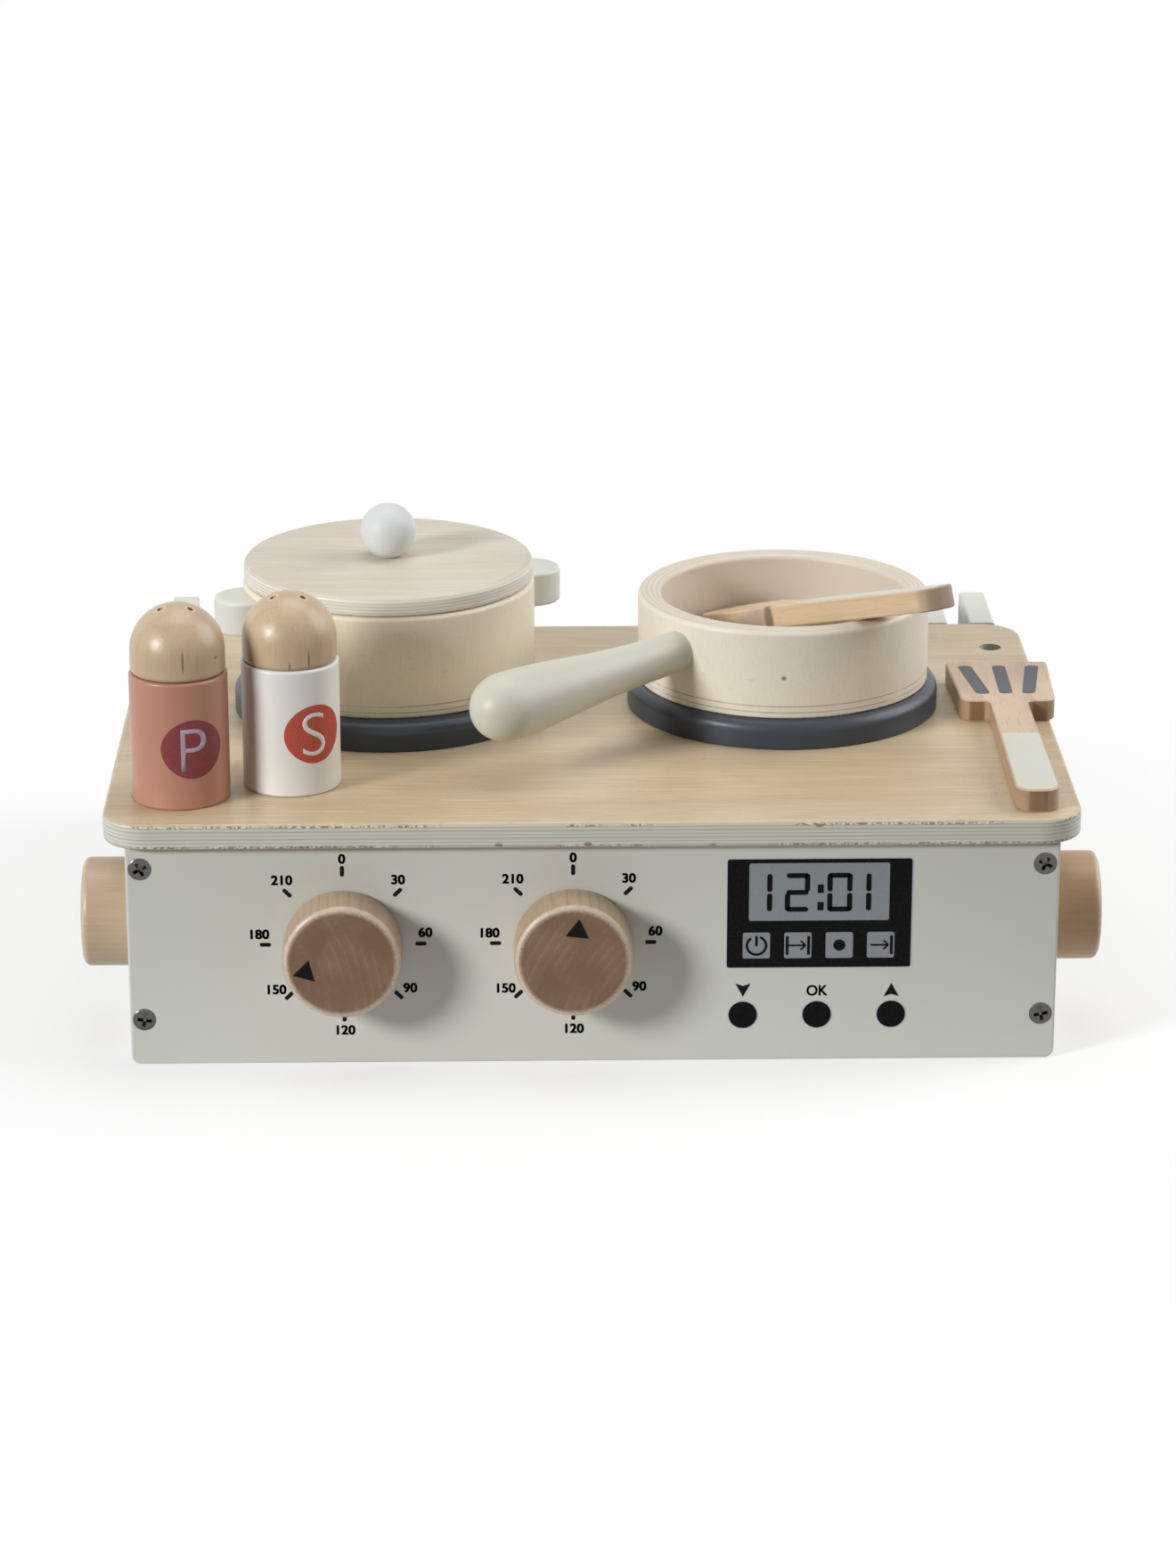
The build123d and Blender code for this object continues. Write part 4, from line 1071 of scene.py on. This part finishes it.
# %% [markdown]
# ## Screws with a cross slot
#
# The front board and the worktop are held by dark screws with a cross slot. The solid screws
# have no slot, so one screw of each kind is modelled here and replaces them. A cone or a
# cylinder starts the head, three short narrowing extrusions raise its low dome, the shank is
# extruded from its underside, and two tapered bars are cut out with a boolean. Copies go to
# each hole, each turned differently, as a hand leaves them.


# %% Model a screw
def picked(piece, test):
    bpy.ops.mesh.select_all(action="DESELECT")
    go_to("OBJECT")
    for face in piece.data.polygons:
        face.select = test(face)
    go_to("EDIT")
    bpy.context.tool_settings.mesh_select_mode = (False, False, True)


def extrude_up(rise, shrink):
    bpy.ops.mesh.extrude_region_move(TRANSFORM_OT_translate={"value": (0.0, 0.0, rise * MM)})
    bpy.ops.transform.resize(value=(shrink, shrink, 1.0))


def slot_bar(turn):
    middle_height = (HEAD_TOP + 0.5 - SLOT_DEPTH / 2) * MM
    bpy.ops.mesh.primitive_cube_add(size=1.0, location=(0.0, 0.0, middle_height))
    bar_cutter = bpy.context.active_object
    bar_cutter.scale = (SLOT_REACH * MM, SLOT_WIDTH * MM, (SLOT_DEPTH + 1.0) * MM)
    settle(bar_cutter)
    begin_edit(bar_cutter)
    picked(bar_cutter, lambda face: face.normal.z < -0.5)
    bpy.ops.transform.resize(value=(0.45, 0.7, 1.0))
    end_edit()
    return placed(bar_cutter, (0.0, 0.0, turn), LEVEL)


def cut_with(piece, cutters):
    for cutter in cutters:
        only(piece)
        cut = piece.modifiers.new("cut", "BOOLEAN")
        cut.operation, cut.solver, cut.object = "DIFFERENCE", "EXACT", cutter
        bpy.ops.object.modifier_apply(modifier="cut")
        bpy.data.objects.remove(cutter)


def cross_screw(name, foot_radius, head_radius, head_depth, length):
    bpy.ops.mesh.primitive_cone_add(
        vertices=48, radius1=foot_radius * MM, radius2=head_radius * MM, depth=head_depth * MM,
        location=(0.0, 0.0, -head_depth / 2 * MM),
    )
    screw = settle(bpy.context.active_object)
    screw.name = name
    begin_edit(screw)
    picked(screw, lambda face: face.normal.z > 0.9)
    for rise, shrink in ((0.22, 0.93), (0.18, 0.86), (0.12, 0.74)):
        extrude_up(rise, shrink)
    picked(screw, lambda face: face.normal.z < -0.9)
    bpy.ops.mesh.inset(thickness=max(foot_radius - SHANK_RADIUS, 0.02) * MM)
    extrude_up(head_depth + 3.0 - length, 1.0)
    extrude_up(-3.0, 0.15)
    end_edit()
    cut_with(screw, [slot_bar(turn) for turn in (0.0, math.pi / 2)])
    only(screw)
    bpy.ops.object.shade_smooth_by_angle(angle=math.radians(35))
    return screw


SHANK_RADIUS = 1.96
SLOT_WIDTH, SLOT_REACH, SLOT_DEPTH, HEAD_TOP = 1.6, 7.0, 2.4, 0.5
print("screw steps ready")


# %% Copy the screws to their holes
def copies(first, name, places, solid_name):
    made = []
    for place, tilt, spin in places:
        copy = first.copy()
        copy.data = first.data.copy()
        bpy.context.scene.collection.objects.link(copy)
        placed(copy, (0.0, 0.0, math.radians(spin)), LEVEL)
        made.append(placed(copy, tilt, [value * MM for value in place]))
    bpy.data.objects.remove(first)
    piece = finished(joined(made, name), dark_chrome, "hob")
    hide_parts(solid_name)


SCREW_X = 184.5
front_holes = [(x, -147.75, height) for height in (85.6, 19.8) for x in (-SCREW_X, SCREW_X)]
front_places = [(hole, UPRIGHT, spin) for hole, spin in zip(front_holes, (27, 64, 82, 12))]
front_screw = cross_screw(
    "front_screw", foot_radius=2.0, head_radius=4.7, head_depth=3.1, length=27.9
)
copies(front_screw, "cross_screws_front", front_places, "front_screws")
top_holes = [(x, y, 103.1) for x in (-SCREW_X, SCREW_X) for y in (-114.75, 81.25)]
top_places = [(hole, LEVEL, hole[0] + hole[1]) for hole in top_holes]
worktop_screw = cross_screw(
    "worktop_screw", foot_radius=4.0, head_radius=4.0, head_depth=2.1, length=32.0
)
copies(worktop_screw, "cross_screws_worktop", top_places, "worktop_screws")


# %% [markdown]
# ## Signs on the shakers
#
# Each shaker carries a printed round sign with a letter, P or S, wrapped on its side. The
# sign is drawn flat, sliced into thin upright strips so that it can bend, stood up in front
# of the shaker and pressed onto it by a Shrinkwrap. A Solidify gives the film of ink.


# %% Wrap a drawing on a shaker
def sliced(piece, half_width):
    for step in range(-half_width, half_width + 1):
        begin_edit(piece)
        bpy.ops.mesh.bisect(plane_co=(step * MM, 0.0, 0.0), plane_no=(1.0, 0.0, 0.0))
        end_edit()
    return piece


def wrapped(piece, name, shaker, film):
    kind, middle, direction, height = shaker
    piece.name = name
    angle = math.radians(direction)
    x = middle[0] + STAND_OFF * math.cos(angle)
    y = middle[1] + STAND_OFF * math.sin(angle)
    piece.rotation_euler = (math.pi / 2, 0.0, angle + math.pi / 2)
    piece.location = (x * MM, y * MM, height * MM)
    only(piece)
    press = piece.modifiers.new("press", "SHRINKWRAP")
    press.target = solids[kind + "_body"]
    press.wrap_method, press.wrap_mode = "PROJECT", "ABOVE_SURFACE"
    press.use_project_z, press.use_negative_direction = True, True
    press.use_positive_direction = False
    press.offset = film * MM
    bpy.ops.object.modifier_apply(modifier="press")
    thick = piece.modifiers.new("film", "SOLIDIFY")
    thick.thickness, thick.offset = SIGN_FILM, 1.0
    bpy.ops.object.modifier_apply(modifier="film")
    return settle(piece)


def shaker_sign(shaker, letter, disc_ink, letter_ink):
    kind = shaker[0]
    disc = sliced(flat_disc(0.0, 0.0, SIGN_RADIUS, 96), 13)
    disc = wrapped(disc, kind + "_sign", shaker, 0.04)
    finished(disc, disc_ink, kind)
    letter = wrapped(sliced(letter, 8), kind + "_letter", shaker, 0.14)
    finished(letter, letter_ink, kind)


STAND_OFF, SIGN_RADIUS, SIGN_FILM = 24.0, 12.5, 0.08 * MM
PEPPER = ("pepper", PEPPER_MIDDLE, -70.35, 132.0)
letter_p = flat_text("P", 0.15, -0.15, 17.8, bolder=-0.012, width=10.5)
shaker_sign(PEPPER, letter_p, sign_maroon, sign_lilac)
SALT = ("salt", SALT_MIDDLE, -57.8, 132.6)
letter_s = flat_text("S", -0.6, 0.05, 18.3, bolder=-0.014, width=10.2)
shaker_sign(SALT, letter_s, sign_red, sign_white)


# %% [markdown]
# ## Paint on the spatula and the spoon
#
# Three charcoal bars stand for slots on the spatula's head, and the ends of both handles
# are dipped in pale paint that stops a little inside the edge. Each patch is a flat shape
# whose corners are moved to their places and rounded, then thickened by one coat. The
# spoon's patch is drawn on the straight spoon and then turned and tilted with it.


# %% Flat patches
def flat_patch(corners, rounding, rounded):
    patch = flat_plate(0.0, 0.0, 2.0, 2.0)
    order = {(-1, 1): 0, (1, 1): 1, (1, -1): 2, (-1, -1): 3}
    keep = []
    for vertex in patch.data.vertices:
        corner = order[1 if vertex.co.x > 0 else -1, 1 if vertex.co.y > 0 else -1]
        keep.append(corner in rounded)
        vertex.co.x, vertex.co.y = (value * MM for value in corners[corner])
    begin_edit(patch)
    bpy.ops.mesh.select_all(action="DESELECT")
    go_to("OBJECT")
    for vertex, chosen in zip(patch.data.vertices, keep):
        vertex.select = chosen
    go_to("EDIT")
    bpy.context.tool_settings.mesh_select_mode = (True, False, False)
    bpy.ops.mesh.bevel(offset=rounding * MM, segments=10, affect="VERTICES")
    end_edit()
    return patch


def coat_of(parts, name, turn, place, finish, slot_name, body):
    patch = thickened(joined(parts, name), COAT)
    finished(placed(patch, turn, place), finish, body)


COAT = 0.09 * MM
SPATULA_TOP = (0.0, 0.0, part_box("spatula")[1].z)
BARS = (
    ((163.7, 23.4), (169.8, 23.3), (174.6, -16.1), (168.5, -16.0)),
    ((179.0, 23.6), (184.9, 23.5), (184.3, -15.7), (178.5, -15.7)),
    ((193.7, 23.4), (199.7, 23.3), (193.9, -15.9), (188.3, -15.9)),
)
bars = [flat_patch(corners, 2.3, (0, 1, 2, 3)) for corners in BARS]
bar_paint = paint("charcoal_bar_paint", (0.075, 0.082, 0.098), (0.05, 0.055, 0.065), 0.5)
on_spatula = (LEVEL, SPATULA_TOP)
coat_of(bars, "spatula_bars", *on_spatula, bar_paint, "charcoal_print", "spatula_piece")
grip = flat_patch(((173.7, -69.5), (189.3, -69.5), (189.9, -142.1), (173.1, -142.1)), 6.3, (2, 3))
coat_of([grip], "spatula_grip", *on_spatula, mint, "pale_mint_paint", "spatula_piece")


# %% Spoon patch
SPOON_THICKNESS = 9.6
grip = flat_patch(((70.0, 7.9), (159.8, 7.9), (159.8, -7.9), (70.0, -7.9)), 6.4, (1, 2))
placed(grip, LEVEL, (0.0, 0.0, SPOON_THICKNESS * MM))
on_spoon = (SPOON_TURN, SPOON_TIP)
coat_of([grip], "spoon_grip", *on_spoon, mint, "pale_mint_paint", "spoon_piece")
